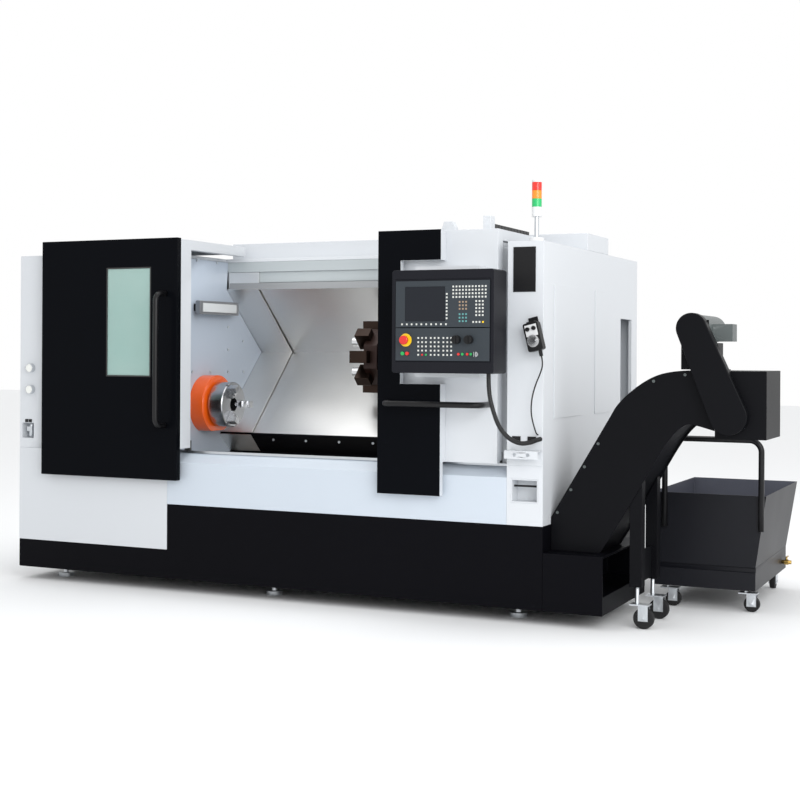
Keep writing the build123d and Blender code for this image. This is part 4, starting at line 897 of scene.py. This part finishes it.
guard_low, guard_high, arc_steps = (4.063, 1.028, 0.086), (3.890, 1.436, 0.072), 24
lean = atan2(guard_high[1] - guard_low[1], guard_high[0] - guard_low[0])
guard_outline = [
    (x + radius * cos(lean + turn), z + radius * sin(lean + turn))
    for x, z, radius, start in (guard_high + (-pi / 2,), guard_low + (pi / 2,))
    for turn in [start + pi * n / arc_steps for n in range(arc_steps + 1)]
]
guard_near, guard_far = 0.060, 0.119
guard_sheet = prism("chain_guard", guard_outline, "y", guard_near, guard_far)
added_piece("chain_guard", guard_sheet, conveyor_paint, "conveyor_head", bevel=0.004)
stand_width = 0.14
bench_piece("drive_motor", "motor_stand", conveyor_paint, bevel=0.002,
            wanted=shorter("x", stand_width))
bench_piece("drive_motor", "motor_body", motor_grey, bevel=0.003,
            wanted=longer("x", stand_width))
bench_piece("conveyor_legs", "conveyor_leg_tubes", conveyor_paint, bevel=0.002)

# Casters. Zinc-plated forks and black rubber wheels. Two swivel under the conveyor and two
# under the cart, whose rear pair stays straight.
wheel_rubber = finish("wheel_rubber", (0.010, 0.010, 0.011), 0.60, shade=0.15, grain=200, gleam=0.3)
for prefix in ("conveyor_front", "conveyor_rear", "cart_1", "cart_2"):
    bench_piece(f"{prefix}_fork", f"{prefix}_caster_fork", zinc_steel, bevel=0.0008)
    bench_piece(f"{prefix}_wheel", f"{prefix}_caster_wheel", wheel_rubber, bevel=0.001)
bench_piece("cart_rear_wheels", "cart_rear_caster_wheels", wheel_rubber, bevel=0.001)

# Chip cart. A black sheet bin with sloping sides on a welded frame, a bent tube to push
# it by, and a brass drain valve with a lever.
bin_paint = finish("cart_black", (0.0075, 0.008, 0.0115), 0.42, shade=0.25, grain=260,
                   grain_depth=0.0003, blotch=2.0, gleam=0.22)
brass = finish("valve_brass", (0.52, 0.34, 0.10), 0.32, metallic=1.0, shade=0.2, grain=300)
widest_fitting, valve_start = 0.3, 4.04
cart_bin = bench_piece("cart_body", "cart_bin", bin_paint, bevel=0.001,
                       wanted=longer("y", widest_fitting))
# Painted light: the bin's inner walls above its floor take a lighter, bluer grey than its black outside.
bin_inside_painted_light = finish("cart_inside_painted_light", (0.075, 0.080, 0.105), 0.42, metallic=0.2, shade=0.3, blotch=5.0)
cart_bin.data.materials.append(bin_inside_painted_light)
bin_middle = machine_corner + Vector((3.80, 1.25, 0.45))
bin_floor, least_inward = 0.2345, 0.02
# Faces that face into the bin, above its floor, take the painted light.
for face in cart_bin.data.polygons:
    inward = (bin_middle - face.center).dot(face.normal)
    if inward > least_inward and (face.center - machine_corner).z > bin_floor:
        face.material_index = 1
bench_piece("cart_body", "cart_push_handle", handle_paint, bevel=0.0,
            wanted=shorter("y", widest_fitting))
bench_piece("cart_frame", "cart_frame_steel", bin_paint, bevel=0.002,
            wanted=longer("y", widest_fitting))
bench_piece("cart_frame", "drain_valve", brass, bevel=0.0006,
            wanted=lambda low, high: low.x > valve_start and high.y - low.y < widest_fitting)
bench_piece("cart_frame", "rear_caster_forks", zinc_steel, bevel=0.0008,
            wanted=lambda low, high: low.x < valve_start and high.y - low.y < widest_fitting)
bench_piece("valve_lever", "valve_lever_bar", brass, bevel=0.0004)

# Signal tower. A white foot and a plated pole carry a white collar, green, amber and red
# lenses, and a white cap. Each is turned, with a small groove where it meets the next.
def turned(name, profile, centre_x, centre_y, sides=40):
    """A turned shape from radius and height pairs, low to high, closed at both ends."""
    spots, faces = [], []
    for radius, height in profile:
        for side in range(sides):
            turn = 2 * pi * side / sides
            spot = Vector((centre_x + radius * cos(turn), centre_y + radius * sin(turn), height))
            spots.append(machine_corner + spot)
    for ring in range(len(profile) - 1):
        for side in range(sides):
            a, b = ring * sides + side, ring * sides + (side + 1) % sides
            faces.append((a, b, b + sides, a + sides))
    faces.append(tuple(range(sides - 1, -1, -1)))
    top_ring = (len(profile) - 1) * sides
    faces.append(tuple(range(top_ring, top_ring + sides)))
    mesh = bpy.data.meshes.new(name)
    mesh.from_pydata(spots, [], faces)
    for polygon in mesh.polygons:
        polygon.use_smooth = True
    mesh.set_sharp_from_angle(angle=radians(30))
    return mesh


def lens_finish(name, colour):
    """Coloured plastic, smooth and even."""
    return finish(name, colour, 0.22, shade=0.06, grain=300)


tower_x, tower_y, groove, lens_radius = 3.138, 0.040, 0.0012, 0.024
tower_stack = (
    ("tower_foot", 0.036, 1.861, 1.877, white_plastic),
    ("tower_pole", 0.011, 1.877, 1.979, zinc_steel),
    ("tower_collar", lens_radius, 1.979, 2.027, white_plastic),
    ("tower_lens_green", lens_radius, 2.027, 2.067, lens_finish("lens_green", (0.02, 0.46, 0.14))),
    ("tower_lens_amber", lens_radius, 2.067, 2.107, lens_finish("lens_amber", (0.93, 0.26, 0.02))),
    ("tower_lens_red", lens_radius, 2.107, 2.147, lens_finish("lens_red", (0.76, 0.03, 0.02))),
    ("tower_cap", lens_radius, 2.147, 2.159, white_plastic),
)
for name, radius, low_z, high_z, material in tower_stack:
    profile = [(radius - groove, low_z), (radius, low_z + groove), (radius, high_z - groove),
               (radius - groove, high_z)]
    added_piece(name, turned(name, profile, tower_x, tower_y), material, "signal_tower")
